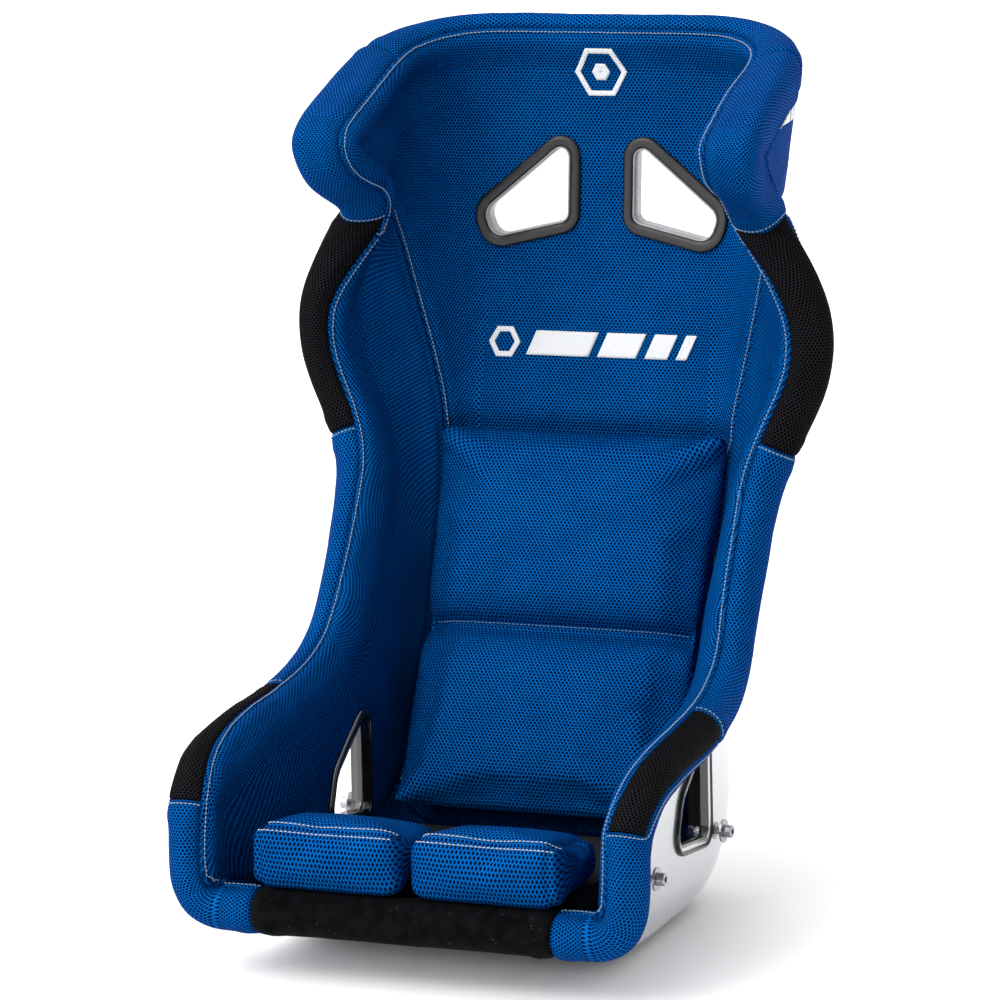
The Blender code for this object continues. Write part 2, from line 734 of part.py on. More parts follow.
def round_cutter(name, radius, place, start, end, segments=ROUND_STEPS):
    """A cylinder along X, or a hexagon with six segments."""
    bm = bmesh.new()
    bmesh.ops.create_cone(bm, cap_ends=True, segments=segments, radius1=radius, radius2=radius,
                          depth=abs(end - start))
    return add_cutter(name, bm, ((start + end) / 2, *place), (0.0, math.pi / 2, 0.0))


# ---------------------------------------------------------------- side fixings

def turned_piece(name, slot, profile, place, side, closed):
    """A profile of (distance from the seat's centre, radius), turned about the fixing's axis along X.

    The profile runs from the outer end inwards. closed joins its last point to its first.
    """
    bm = bmesh.new()
    verts = [bm.verts.new((radius, 0.0, distance)) for distance, radius in profile]
    for a, b in zip(verts, verts[1:] + verts[:1] if closed else verts[1:]):
        bm.edges.new((a, b))
    made = add_object(name, bm, slot, sharp_angle=30.0)
    made.location = (0.0, *place)
    made.rotation_euler = (0.0, side * math.pi / 2, 0.0)
    screw = made.modifiers.new("Screw", "SCREW")
    screw.steps = ROUND_STEPS
    screw.render_steps = ROUND_STEPS
    screw.use_merge_vertices = True
    screw.merge_threshold = 0.00001
    return made


def insert_profile(wall):
    """A flanged insert: a boss outside the shell, a hub through its wall and a flange inside it."""
    face_at = wall + BOSS_PROUD
    outside = wall + WALL_CLEARANCE
    inside = wall - SHELL - WALL_CLEARANCE
    return (
        (face_at, BORE_RADIUS), (face_at, BOSS_RADIUS), (outside, BOSS_RADIUS), (outside, HUB_RADIUS),
        (inside, HUB_RADIUS), (inside, FLANGE_RADIUS), (inside - FLANGE_THICKNESS, FLANGE_RADIUS),
        (inside - FLANGE_THICKNESS, BORE_RADIUS),
    )


def washer_profile(wall):
    near = wall + BOSS_PROUD + GRIP
    far = near + WASHER_THICKNESS
    return (far, BORE_RADIUS), (far, WASHER_RADIUS), (near, WASHER_RADIUS), (near, BORE_RADIUS)


def bolt_top(wall):
    return wall + BOSS_PROUD + GRIP + WASHER_THICKNESS + BOLT_SEATING + HEAD_HEIGHT


def bolt_profile(wall):
    """A cap screw, from its head down to its tip."""
    top = bolt_top(wall)
    seat = top - HEAD_HEIGHT
    tip = wall - SHELL - WALL_CLEARANCE
    return (
        (top, 0.0), (top, HEAD_RADIUS - CHAMFER), (top - CHAMFER, HEAD_RADIUS), (seat, HEAD_RADIUS),
        (seat, SHANK_RADIUS), (tip + CHAMFER, SHANK_RADIUS), (tip, SHANK_RADIUS - CHAMFER), (tip, 0.0),
    )


def side_fixing(place, end, word, side, shell, pan):
    """One bolt, washer and insert, with the holes they need in the shell and in the lining."""
    wall = axis_hit(OUTER_FACE, "X", *place).x
    inner, outer = side * (wall - HOLE_REACH), side * (wall + HOLE_REACH)
    add_cut(shell, round_cutter(f"cut_hub_{end}_{word}", HUB_RADIUS + GAP, place, inner, outer))
    add_cut(pan, round_cutter(f"cut_flange_{end}_{word}", FLANGE_RADIUS + 2 * GAP, place, inner, outer))
    tail = f"{end}_{word}"
    turned_piece(f"side_mount_insert_{tail}", "zinc_insert", insert_profile(wall), place, side, True)
    turned_piece(f"side_mount_washer_{tail}", "bright_steel", washer_profile(wall), place, side, True)
    bolt = turned_piece(f"side_mount_bolt_{tail}", "bright_steel", bolt_profile(wall), place, side, False)
    top = bolt_top(wall)
    socket = round_cutter(f"cut_socket_{end}_{word}", SOCKET_RADIUS, place, side * (top - SOCKET_DEPTH),
                          side * (top + SOCKET_DEPTH), segments=6)
    add_cut(bolt, socket)


# ---------------------------------------------------------------- pads

def back_pad_axes():
    up = BACK_PAD_HIGH - BACK_PAD_LOW
    length = up.length
    up.normalize()
    back = Vector((0.0, up.z, -up.y))
    return up, back, length


def pad_front(x, v):
    """Front face of the back pad: two sections, each crowned, with the sewn line between them."""
    up, back, length = back_pad_axes()
    share = v / length
    across = 1 - (abs(x) / BACK_PAD_HALF_WIDTH) ** 4
    if share < BACK_PAD_SEAM:
        local = share / BACK_PAD_SEAM
    else:
        local = (share - BACK_PAD_SEAM) / (1 - BACK_PAD_SEAM)
    crown = BACK_PAD_CROWN * across * (4 * local * (1 - local)) ** 0.5
    return BACK_PAD_LOW + Vector((x, 0, 0)) + up * v - back * crown


def back_pad(name, slot):
    up, back, length = back_pad_axes()
    columns, rows = 8, 11
    bm = bmesh.new()
    front, rear = [], []
    for m in range(rows + 1):
        v = length * m / rows
        front_row, rear_row = [], []
        for n in range(columns + 1):
            x = BACK_PAD_HALF_WIDTH * (2 * n / columns - 1)
            place = pad_front(x, v)
            inwards = back if m > 0 else Vector((0.0, 1.0, 0.0))
            hit, _, _, _ = INNER_FACE.ray_cast(place - inwards * 0.02, inwards)
            base = hit - inwards * (HOOK_TAPE + 3 * GAP)
            depth = (base - place).dot(inwards)
            if depth < BACK_PAD_EDGE:
                place = base - inwards * BACK_PAD_EDGE
            front_row.append(bm.verts.new(place))
            rear_row.append(bm.verts.new(base))
        front.append(front_row)
        rear.append(rear_row)
    close_blanket(bm, front, rear)
    made = add_object(name, bm, slot, sharp_angle=60.0)
    fix_winding(made)
    return made


def close_blanket(bm, top, bottom):
    """Join two equal grids of vertices into one closed body."""
    rows, columns = len(top), len(top[0])
    for m in range(rows - 1):
        for n in range(columns - 1):
            bm.faces.new((top[m][n], top[m][n + 1], top[m + 1][n + 1], top[m + 1][n]))
            bm.faces.new((bottom[m + 1][n], bottom[m + 1][n + 1], bottom[m][n + 1], bottom[m][n]))
    for n in range(columns - 1):
        bm.faces.new((top[0][n + 1], top[0][n], bottom[0][n], bottom[0][n + 1]))
        bm.faces.new((top[-1][n], top[-1][n + 1], bottom[-1][n + 1], bottom[-1][n]))
    for m in range(rows - 1):
        bm.faces.new((top[m][0], top[m + 1][0], bottom[m + 1][0], bottom[m][0]))
        bm.faces.new((top[m + 1][-1], top[m][-1], bottom[m][-1], bottom[m + 1][-1]))


def seat_pad(name, slot):
    """The foam block on the pan, flat under the thigh pads and shaped to the lining below."""
    columns, rows = 8, 8
    bm = bmesh.new()
    top, bottom = [], []
    for m in range(rows + 1):
        y = SEAT_PAD_FRONT + (SEAT_PAD_REAR - SEAT_PAD_FRONT) * m / rows
        fall = SEAT_PAD_FALL * max(0.0, (y - SEAT_PAD_BEND) / (SEAT_PAD_REAR - SEAT_PAD_BEND))
        top_row, bottom_row = [], []
        for n in range(columns + 1):
            x = SEAT_PAD_HALF_WIDTH * (2 * n / columns - 1)
            hit = axis_hit(INNER_FACE, "Z", x, y)
            top_row.append(bm.verts.new((x, y, SEAT_PAD_TOP - fall)))
            bottom_row.append(bm.verts.new((x, y, hit.z + 0.0012)))
        top.append(top_row)
        bottom.append(bottom_row)
    close_blanket(bm, top, bottom)
    made = add_object(name, bm, slot)
    fix_winding(made)
    return made


def thigh_pad(name, slot, side, radius=0.016, segments=2):
    """A wedge-shaped pad, highest under the thighs at the front edge."""
    floor = SEAT_PAD_TOP + HOOK_TAPE + 3 * GAP
    bm = bmesh.new()
    bmesh.ops.create_cube(bm, size=1.0)
    for vert in bm.verts:
        x = THIGH_PAD_X[0] if vert.co.x < 0 else THIGH_PAD_X[1]
        end = 0 if vert.co.y < 0 else 1
        height = THIGH_PAD_HEIGHT[end] if vert.co.z > 0 else 0.0
        vert.co = (side * x, THIGH_PAD_Y[end], floor + height)
    made = add_object(name, bm, slot, sharp_angle=60.0)
    fix_winding(made)
    bevel = made.modifiers.new("Bevel", "BEVEL")
    bevel.width = radius
    bevel.segments = segments
    bevel.limit_method = "NONE"
    return made


def back_hook_tape(name, slot, side):
    """An upright strip of hook tape that holds the back pad."""
    up, back, length = back_pad_axes()
    centre = side * BACK_TAPE_X
    bm = bmesh.new()
    top, bottom = [], []
    for m in range(9):
        v = length * (0.10 + 0.78 * m / 8)
        top_row, bottom_row = [], []
        for x in (centre - 0.0125, centre + 0.0125):
            start = BACK_PAD_LOW + Vector((x, 0, 0)) + up * v - back * 0.02
            hit, _, _, _ = INNER_FACE.ray_cast(start, back)
            top_row.append(bm.verts.new(hit - back * (GAP + HOOK_TAPE)))
            bottom_row.append(bm.verts.new(hit - back * GAP))
        top.append(top_row)
        bottom.append(bottom_row)
    close_blanket(bm, top, bottom)
    made = add_object(name, bm, slot)
    fix_winding(made)
    return made


def seat_hook_tape(name, slot, side):
    """A strip of hook tape on the seat pad under a thigh pad."""
    bm = bmesh.new()
    centre = side * (THIGH_PAD_X[0] + THIGH_PAD_X[1]) / 2
    bmesh.ops.create_cube(bm, size=1.0)
    for vert in bm.verts:
        vert.co = Vector((
            centre + 0.10 * vert.co.x,
            SEAT_TAPE_Y + 0.025 * vert.co.y,
            SEAT_PAD_TOP + GAP + HOOK_TAPE * (vert.co.z + 0.5),
        ))
    return add_object(name, bm, slot)


# ---------------------------------------------------------------- the seat

def build_shell():
    bm = bmesh.new()
    verts = [[bm.verts.new(point) for point in row] for row in GRID]
    for i in range(LAST_ROW):
        for j in range(LAST_COLUMN):
            ring = (verts[i][j], verts[i][j + 1], verts[i + 1][j + 1], verts[i + 1][j])
            if i < EDGE_STEPS and i + j == LAST_COLUMN - 1:
                ring = ring[1:] + ring[:1]
            split_quad(bm, *ring, 1)
    first = next(iter(bm.faces))
    first.normal_update()
    if first.normal.dot(NORMALS[0][0]) < 0:
        bmesh.ops.reverse_faces(bm, faces=bm.faces)
    shell = add_object("shell", bm, "silver_shell")
    add_mirror(shell)
    wall = shell.modifiers.new("Solidify", "SOLIDIFY")
    wall.thickness = SHELL
    wall.offset = 1.0
    wall.use_even_offset = False
    return shell


def build():
    clear_scene()
    add_origin()
    shell = build_shell()
    pan_end, back_end, head_start = row_of(6.0), row_of(16.0), row_of(16.0)
    inner_column = LAST_COLUMN - EDGE_STEPS
    pan = layered_solid("seat_pan_lining", "blue_mesh", (2, pan_end), (0, inner_column),
                        half=True, trim=(1, 1, 0, 1))
    back = layered_solid("backrest_lining", "blue_mesh", (pan_end, back_end), (0, SIDE_SEAM),
                         half=True, trim=(1, 1, 0, 1))
    head = layered_solid("headrest_lining", "blue_mesh", (head_start, LAST_ROW - 2), (0, inner_column),
                         half=True, trim=(1, 1, 0, 1))
    linings = [pan, back, head]
    for side, word in ((1, "left"), (-1, "right")):
        linings.append(layered_solid(f"side_lining_{word}", "blue_mesh", (pan_end, back_end),
                                     (SIDE_SEAM, inner_column), side=side))
        thigh_end, waist_end, shoulder_end = step_of_row(3.3), step_of_row(10.7), step_of_row(14.9)
        wing_end = step_of_head_column(SIDE_SEAM)
        roll_piece(f"thigh_bolster_{word}", "blue_mesh", LIP_END, thigh_end, side)
        roll_piece(f"side_bolster_{word}", "blue_mesh", thigh_end, waist_end, side)
        roll_piece(f"shoulder_bolster_{word}", "blue_mesh", waist_end, shoulder_end, side)
        roll_piece(f"head_wing_pad_{word}", "blue_mesh", shoulder_end, wing_end, side)
        patch_piece(f"thigh_patch_{word}", "black_mesh", LAST_COLUMN, thigh_end, (7, 8, 9, 10, 11), side)
        patch_piece(f"shoulder_patch_{word}", "black_mesh", waist_end, shoulder_end, (7, 8, 9, 10, 11), side)
        covers = (row_of(15.5), LAST_ROW - 1), (SIDE_SEAM, LAST_COLUMN - 1)
        linings.append(layered_solid(f"head_wing_cover_{word}", "blue_mesh", *covers, side=side,
                                     depths=(cover_inner, cover_outer)))
    for target in linings:
        fix_winding(target)
    roll_piece("front_lip_trim", "black_suede", 0, LIP_END)
    roll_piece("head_top_roll", "blue_mesh", step_of_head_column(SIDE_SEAM), len(EDGE_PATH) - 1)

    clearance = SLEEVE + SLOT_GAP
    for side, word in ((1, "left"), (-1, "right")):
        cutter = slot_cutter(f"cut_shoulder_{word}", "Y", SHOULDER_SLOT, clearance, (0.15, 0.36), side)
        add_cut(shell, cutter)
        add_cut(back, cutter)
        slot_pieces("shoulder_slot", word, "Y", SHOULDER_SLOT, "grey_sleeve", BEZEL_WIDTH, STAND_OFF, side)
        cutter = slot_cutter(f"cut_lap_{word}", "X", LAP_SLOT, clearance, (0.12, 0.26), side)
        add_cut(shell, cutter)
        add_cut(pan, cutter)
        slot_pieces("lap_slot", word, "X", LAP_SLOT, "black_plastic", LAP_BEZEL_WIDTH, 2 * STAND_OFF, side)

    seat = seat_pad("seat_base_pad", "base_foam")
    cutter = slot_cutter("cut_crotch", "Z", CROTCH_SLOT, clearance, (-0.01, 0.12))
    for target in (shell, pan, seat):
        add_cut(target, cutter)
    tube_through("crotch_slot_grommet", "black_plastic", "Z", CROTCH_SLOT, 0.0, SLEEVE,
                 (INNER_FACE, -SLEEVE_PROUD), (OUTER_FACE, 0.0))
    for place, end in zip(MOUNT_HOLES, ("rear", "front")):
        for side, word in ((1, "left"), (-1, "right")):
            side_fixing(place, end, word, side, shell, pan)

    for side, word in ((1, "left"), (-1, "right")):
        back_hook_tape(f"back_hook_tape_{word}", "hook_tape", side)
        seat_hook_tape(f"thigh_hook_tape_{word}", "hook_tape", side)
    back_pad("back_cushion", "blue_mesh")
    for side, word in ((1, "left"), (-1, "right")):
        thigh_pad(f"thigh_cushion_{word}", "blue_mesh", side)


build()
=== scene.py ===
"""Looks of the racing seat: a silver shell, blue mesh upholstery with black patches, and its trim.

Metres, +Z up, in the frame's own axes. The sitter faces -Y, and "left" is the sitter's, at +X.

The shell's inner face is one surface, swept along the seat from the front lip to the head top. The padded
cover is a cage laid over it. It is subdivided, and then parted along its seams into the panels that a
trimmer would sew. Each panel dips at its seams, and rows of thread run beside them.
"""

import json
import math
from collections import namedtuple

import bmesh
import bpy
from mathutils import Matrix, Vector, noise
from mathutils.bvhtree import BVHTree
from mathutils.kdtree import KDTree


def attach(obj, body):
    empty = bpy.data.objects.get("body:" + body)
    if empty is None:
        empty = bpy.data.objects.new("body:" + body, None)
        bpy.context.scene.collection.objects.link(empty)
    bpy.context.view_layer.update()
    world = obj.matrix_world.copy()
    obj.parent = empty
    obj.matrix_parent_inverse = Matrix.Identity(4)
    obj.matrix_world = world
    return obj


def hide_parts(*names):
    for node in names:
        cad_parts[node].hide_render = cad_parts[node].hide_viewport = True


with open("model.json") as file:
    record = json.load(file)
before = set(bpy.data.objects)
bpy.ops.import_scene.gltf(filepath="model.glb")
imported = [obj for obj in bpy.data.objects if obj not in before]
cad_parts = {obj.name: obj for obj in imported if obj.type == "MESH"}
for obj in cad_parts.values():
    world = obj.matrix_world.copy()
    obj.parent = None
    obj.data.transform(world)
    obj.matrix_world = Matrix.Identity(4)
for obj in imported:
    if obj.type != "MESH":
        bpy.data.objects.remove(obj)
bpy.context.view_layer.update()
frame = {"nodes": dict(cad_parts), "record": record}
SIDES = ((1, "left"), (-1, "right"))

# ---------------------------------------------------------------- driving sizes

SHELL = 0.0045          # wall of the moulded shell
LINING = 0.0125         # foam and cloth on the inner face
WING_FOAM = 0.028       # extra foam inside the head wings
CLOTH = 0.0024          # thickness of a cover panel
EDGE_STEP = 0.019       # spacing of the two grid lines that follow the shell's edge
FLARE_DEPTH = 0.048     # height over which the wall turns out to its edge
FLOOR_SKIN = SHELL      # lowest height of the inner face
CENTRING = 0.00070      # the seat's place along Y

# One row per station: centre line (y, z), shell edge (x, y, z), half width where the wall starts and
# where it begins to flare, corner radius, and how far the section bulges off its own plane.
Station = namedtuple("Station", "cy cz ex ey ez base top radius bulge")
STATIONS = (
    Station(-0.293, 0.062, 0.230, -0.285, 0.166, 0.227, 0.229, 0.032, 0.000),
    Station(-0.245, 0.036, 0.231, -0.245, 0.195, 0.211, 0.215, 0.043, 0.000),
    Station(-0.180, 0.013, 0.230, -0.180, 0.207, 0.198, 0.202, 0.042, 0.000),
    Station(-0.105, 0.0045, 0.227, -0.103, 0.212, 0.192, 0.194, 0.040, 0.000),
    Station(-0.025, 0.0045, 0.224, -0.034, 0.222, 0.191, 0.192, 0.040, 0.000),
    Station(0.048, 0.0045, 0.220, 0.021, 0.247, 0.190, 0.190, 0.045, 0.000),
    Station(0.110, 0.040, 0.217, 0.050, 0.279, 0.186, 0.187, 0.055, 0.000),
    Station(0.140, 0.100, 0.216, 0.071, 0.312, 0.180, 0.186, 0.060, 0.000),
    Station(0.165, 0.185, 0.217, 0.092, 0.345, 0.172, 0.186, 0.060, 0.000),
    Station(0.192, 0.280, 0.219, 0.114, 0.384, 0.165, 0.188, 0.058, 0.000),
    Station(0.218, 0.370, 0.224, 0.135, 0.423, 0.158, 0.191, 0.056, 0.000),
    Station(0.244, 0.455, 0.240, 0.150, 0.468, 0.152, 0.204, 0.056, 0.000),
    Station(0.267, 0.540, 0.266, 0.157, 0.526, 0.150, 0.220, 0.060, 0.000),
    Station(0.284, 0.620, 0.269, 0.158, 0.586, 0.154, 0.226, 0.064, 0.000),
    Station(0.293, 0.678, 0.246, 0.163, 0.642, 0.168, 0.224, 0.072, 0.000),
    Station(0.299, 0.728, 0.223, 0.156, 0.688, 0.192, 0.224, 0.084, 0.000),
    Station(0.303, 0.770, 0.229, 0.126, 0.713, 0.210, 0.229, 0.094, 0.002),
    Station(0.304, 0.808, 0.236, 0.088, 0.736, 0.224, 0.235, 0.102, 0.004),
    Station(0.301, 0.848, 0.240, 0.066, 0.765, 0.228, 0.238, 0.112, 0.006),
)

# Where the seams cross the seat, counted in stations.
PATCH_TOP, PAN_END, WAIST_END, CROSS, WING_START = 3.3, 6.0, 10.7, 14.5, 14.9
ROW_KEYS = (0.74, PATCH_TOP, PAN_END, WAIST_END, CROSS, WING_START, 17.05)
ROW_STEPS = (6, 5, 10, 8, 1, 6)
FLAT_STEPS, ARC_STEPS, WALL_STEPS, EDGE_STEPS = 5, 5, 4, 2
SEAM_COLUMN = FLAT_STEPS + ARC_STEPS
LAST_COLUMN = SEAM_COLUMN + WALL_STEPS + EDGE_STEPS
LIP_END = FLAT_STEPS - 1
COVER_LEVELS = 3

# The centre panel's seam: its share of the way from the flat to the edge steps, by station.
SEAM_SHARE = (
    (0.0, 0.36), (6.0, 0.33), (10.0, 0.31), (10.7, 0.33), (11.4, 0.40), (12.0, 0.48), (13.0, 0.62),
    (13.6, 0.73), (14.2, 0.87), (14.5, 0.93), (15.2, 0.86), (16.5, 0.62), (18.0, 0.52),
)

# The roll's section from outside the shell to the lining: how far past the shell's edge, and how far out
# from the shell's inner face.
ROLL_FACE = (
    (-0.0250, 0.0056), (-0.0235, 0.0125), (-0.0120, 0.0195), (0.0060, 0.0222), (0.0190, 0.0155),
    (0.0258, 0.0020), (0.0225, -0.0105), (0.0160, -0.0200), (0.0030, -0.0262), (-0.0130, -0.0268),
    (-0.0290, -0.0190),
)
ROLL_DEPTH = 0.0262     # how far in that section reaches at its crest

# Quads across the roll outside and inside the rim seam, and how many of them the blue welt takes outside
# the thigh patch and outside the shoulder patch.
OUTER_STEPS, INNER_STEPS = 8, 4
THIGH_WELT, SHOULDER_WELT = 4, 2
RIM_POINT = OUTER_STEPS

# The rim seam's place along that section, counted in its points, by station.
RIM_SEAM = (
    (0.0, 7.35), (6.0, 7.4), (9.0, 7.5), (10.7, 7.8), (12.0, 8.3), (14.0, 8.2), (14.9, 7.6), (16.0, 7.0),
    (18.0, 7.2),
)

# The belt slots' corners and their radii, seen along the slot's axis.
SHOULDER_SLOT = (
    ((0.037, 0.660), 0.010), ((0.120, 0.641), 0.014), ((0.130, 0.668), 0.014), ((0.037, 0.744), 0.009),
)
LAP_SLOT = (
    ((-0.070, 0.092), 0.012), ((0.020, 0.080), 0.010), ((0.024, 0.186), 0.006), ((-0.052, 0.136), 0.030),
)
CROTCH_SLOT = (
    ((-0.030, -0.150), 0.009), ((0.030, -0.150), 0.009), ((0.030, -0.126), 0.009), ((-0.030, -0.126), 0.009),
)


# ---------------------------------------------------------------- the reference surface

def spline(rows, place):
    """The values of a Catmull-Rom curve through rows, at a place counted in rows."""
    last = len(rows) - 1
    whole = min(int(place), last - 1)
    f = place - whole
    four = (rows[max(0, min(last, whole + n))] for n in (-1, 0, 1, 2))
    return [
        q + 0.5 * f * (r - p + f * (2 * p - 5 * q + 4 * r - s + f * (3 * (q - r) + s - p)))
        for p, q, r, s in zip(*four)
    ]


def station_at(t):
    made = Station(*spline(STATIONS, t))
    return made._replace(cz=max(made.cz, FLOOR_SKIN))


def section_outline(st):
    """The section in its own plane as (half width, height) points, and the length where its flat ends."""
    height = math.hypot(st.ey - st.cy, st.ez - st.cz)
    wall_top = max(height - FLARE_DEPTH, 0.35 * height)
    lean = math.atan2(st.top - st.base, wall_top)
    turn = math.pi / 2 - lean
    wall = math.hypot(st.top - st.base, wall_top)
    tangent = min(st.radius * math.tan(turn / 2), 0.94 * wall)
    radius = tangent / math.tan(turn / 2)
    flat_end = st.base - tangent
    points = [(flat_end * n / 8, 0.0) for n in range(9)]
    for n in range(1, 17):
        angle = turn * n / 16
        points.append((flat_end + radius * math.sin(angle), radius * (1 - math.cos(angle))))
    x, h = points[-1]
    for n in range(1, 9):
        points.append((x + (st.top - x) * n / 8, h + (wall_top - h) * n / 8))
    bend = (st.top + 0.25 * (st.top - st.base), wall_top + 0.62 * (height - wall_top))
    for n in range(1, 13):
        f = n / 12
        points.append(tuple(
            (1 - f) ** 2 * p + 2 * f * (1 - f) * q + f * f * r
            for p, q, r in zip((st.top, wall_top), bend, (st.ex, height))
        ))
    return points, flat_end


def cumulative(points):
    """The length along a line at each of its points."""
    lengths = [0.0]
    for p, q in zip(points, points[1:]):
        lengths.append(lengths[-1] + math.dist(p, q))
    return lengths


def at_length(points, lengths, wanted):
    """The place on a line at a length along it."""
    for n in range(1, len(points)):
        if lengths[n] >= wanted or n == len(points) - 1:
            span = lengths[n] - lengths[n - 1]
            f = max(0.0, min(1.0, (wanted - lengths[n - 1]) / max(span, 1e-12)))
            return tuple(p + f * (q - p) for p, q in zip(points[n - 1], points[n]))
    return points[-1]


def between(table, t):
    """A value between the given (t, value) pairs."""
    for (a, p), (b, q) in zip(table, table[1:]):
        if t <= b:
            return p + (q - p) * max(0.0, (t - a) / (b - a))
    return table[-1][1]


def section_points(t):
    """The grid points of one row, from the centre line to the shell's edge, and their lengths along it."""
    st = station_at(t)
    outline, flat_end = section_outline(st)
    lengths = cumulative(outline)
    wall_end = lengths[-1] - EDGE_STEPS * EDGE_STEP
    seam = flat_end + between(SEAM_SHARE, t) * (wall_end - flat_end)
    stops = [flat_end * n / FLAT_STEPS for n in range(FLAT_STEPS)]
    stops += [flat_end + (seam - flat_end) * n / ARC_STEPS for n in range(ARC_STEPS)]
    stops += [seam + (wall_end - seam) * n / WALL_STEPS for n in range(WALL_STEPS)]
    stops += [wall_end + EDGE_STEP * n for n in range(EDGE_STEPS + 1)]
    up = Vector((0.0, st.ey - st.cy, st.ez - st.cz))
    height = up.length
    up.normalize()
    across = Vector((0.0, up.z, -up.y))
    if across.z < 0:
        across.negate()
    row = []
    for stop in stops:
        x, h = at_length(outline, lengths, stop)
        share = h / height
        bulge = across * (st.bulge * 4 * share * (1 - share))
        row.append(Vector((x, st.cy + CENTRING, st.cz)) + up * h + bulge)
    row[0].x = 0.0
    return row, stops


def row_stations():
    """The grid rows' places, counted in stations, with one at each seam that crosses the seat."""
    rows = [0.0, 0.36]
    for first, last, steps in zip(ROW_KEYS, ROW_KEYS[1:], ROW_STEPS):
        rows += [first + (last - first) * n / steps for n in range(steps)]
    return rows + [ROW_KEYS[-1], 17.52, 18.0]


def grid_normals(grid):
    """Unit normals at the grid points, pointing out of the seat."""
    rows, columns = len(grid), len(grid[0])
    normals = [[Vector() for _ in range(columns)] for _ in range(rows)]
    for i in range(rows - 1):
        for j in range(columns - 1):
            a, b, c, d = grid[i][j], grid[i][j + 1], grid[i + 1][j + 1], grid[i + 1][j]
            face = (b - a).cross(c - a) + (c - a).cross(d - a)
            if face.length > 1e-12:
                face.normalize()
            for m, n in ((i, j), (i, j + 1), (i + 1, j + 1), (i + 1, j)):
                normals[m][n] += face
    sign = -1.0 if normals[rows // 4][0].z > 0 else 1.0
    for row in normals:
        row[0].x = 0.0
        for normal in row:
            normal.normalize()
            normal *= sign
    return normals


ROW_AT = row_stations()
LAST_ROW = len(ROW_AT) - 1
SECTIONS = [section_points(t) for t in ROW_AT]
GRID = [points for points, _ in SECTIONS]
NORMALS = grid_normals(GRID)


def row_of(t):
    """The row nearest to a station."""
    return min(range(len(ROW_AT)), key=lambda n: abs(ROW_AT[n] - t))


def smooth_step(value, low, high):
    f = max(0.0, min(1.0, (value - low) / (high - low)))
    return f * f * (3 - 2 * f)


def wing_share(i, j):
    """0 over most of the seat and 1 inside the head wings, where the foam is thickest."""
    return smooth_step(ROW_AT[i], 13.6, 16.6) * smooth_step(j, FLAT_STEPS, LAST_COLUMN - 3)


def layer_point(i, j, depth):
    """A point over grid point (i, j). Positive depth goes out through the shell, negative goes inwards."""
    return GRID[i][j] + NORMALS[i][j] * depth


def lining_point(i, j):
    return layer_point(i, j, -LINING - WING_FOAM * wing_share(i, j))


def weave_grid():
    """Cloth coordinates of the grid points: lengths along the section and along each column."""
    middle = row_of(9.0)
    grid = [[Vector((length, 0.0, 0.0)) for length in lengths] for _, lengths in SECTIONS]
    for j in range(LAST_COLUMN + 1):
        for i in range(middle + 1, LAST_ROW + 1):
            grid[i][j].y = grid[i - 1][j].y + (GRID[i][j] - GRID[i - 1][j]).length
        for i in range(middle - 1, -1, -1):
            grid[i][j].y = grid[i + 1][j].y - (GRID[i][j] - GRID[i + 1][j]).length
    return grid


WEAVE = weave_grid()

# ---------------------------------------------------------------- the edge roll

EDGE_PATH = (
    [(0, j) for j in range(LAST_COLUMN + 1)]
    + [(i, LAST_COLUMN) for i in range(1, LAST_ROW + 1)]
    + [(LAST_ROW, j) for j in range(LAST_COLUMN - 1, -1, -1)]
)
CORNER = LAST_COLUMN
TOP_CORNER = LAST_COLUMN + LAST_ROW


def path_point(step, ring):
    """The grid index on the edge path, moved ring steps inwards."""
    i, j = EDGE_PATH[step]
    i = max(ring, min(LAST_ROW - ring, i))
    return i, min(LAST_COLUMN - ring, j)


def edge_frame(step):
    """At a point of the shell's edge: the point, the way out past the edge, and the outer normal."""
    i, j = EDGE_PATH[step]
    here, normal = GRID[i][j], NORMALS[i][j]
    before = EDGE_PATH[max(step - 1, 0)]
    after = EDGE_PATH[min(step + 1, len(EDGE_PATH) - 1)]
    along = GRID[after[0]][after[1]] - GRID[before[0]][before[1]]
    if j == 0:
        along = Vector((1.0, 0.0, 0.0))
    m, n = path_point(step, 1)
    out = here - GRID[m][n]
    along.normalize()
    out -= along * out.dot(along)
    out -= normal * out.dot(normal)
    out.normalize()
    return here, out, normal


def roll_scales(step):
    """How much deeper than normal the roll is inside the seat, and outside it."""
    i, j = EDGE_PATH[step]
    foam = wing_share(i, j)
    top = smooth_step(-j, -SEAM_COLUMN - 1, -LIP_END) if i == LAST_ROW else 0.0
    return 1 + foam * WING_FOAM / ROLL_DEPTH - 0.35 * top, 1 - 0.45 * max(foam, top)


def roll_face(step):
    """The roll's section here, with the rim seam at point RIM_POINT, as (past, depth) pairs."""
    seam = between(RIM_SEAM, ROW_AT[EDGE_PATH[step][0]])
    places = [seam * n / OUTER_STEPS for n in range(OUTER_STEPS)]
    last = len(ROLL_FACE) - 1
    places += [seam + (last - seam) * n / INNER_STEPS for n in range(INNER_STEPS + 1)]
    return [tuple(spline(ROLL_FACE, place)) for place in places]


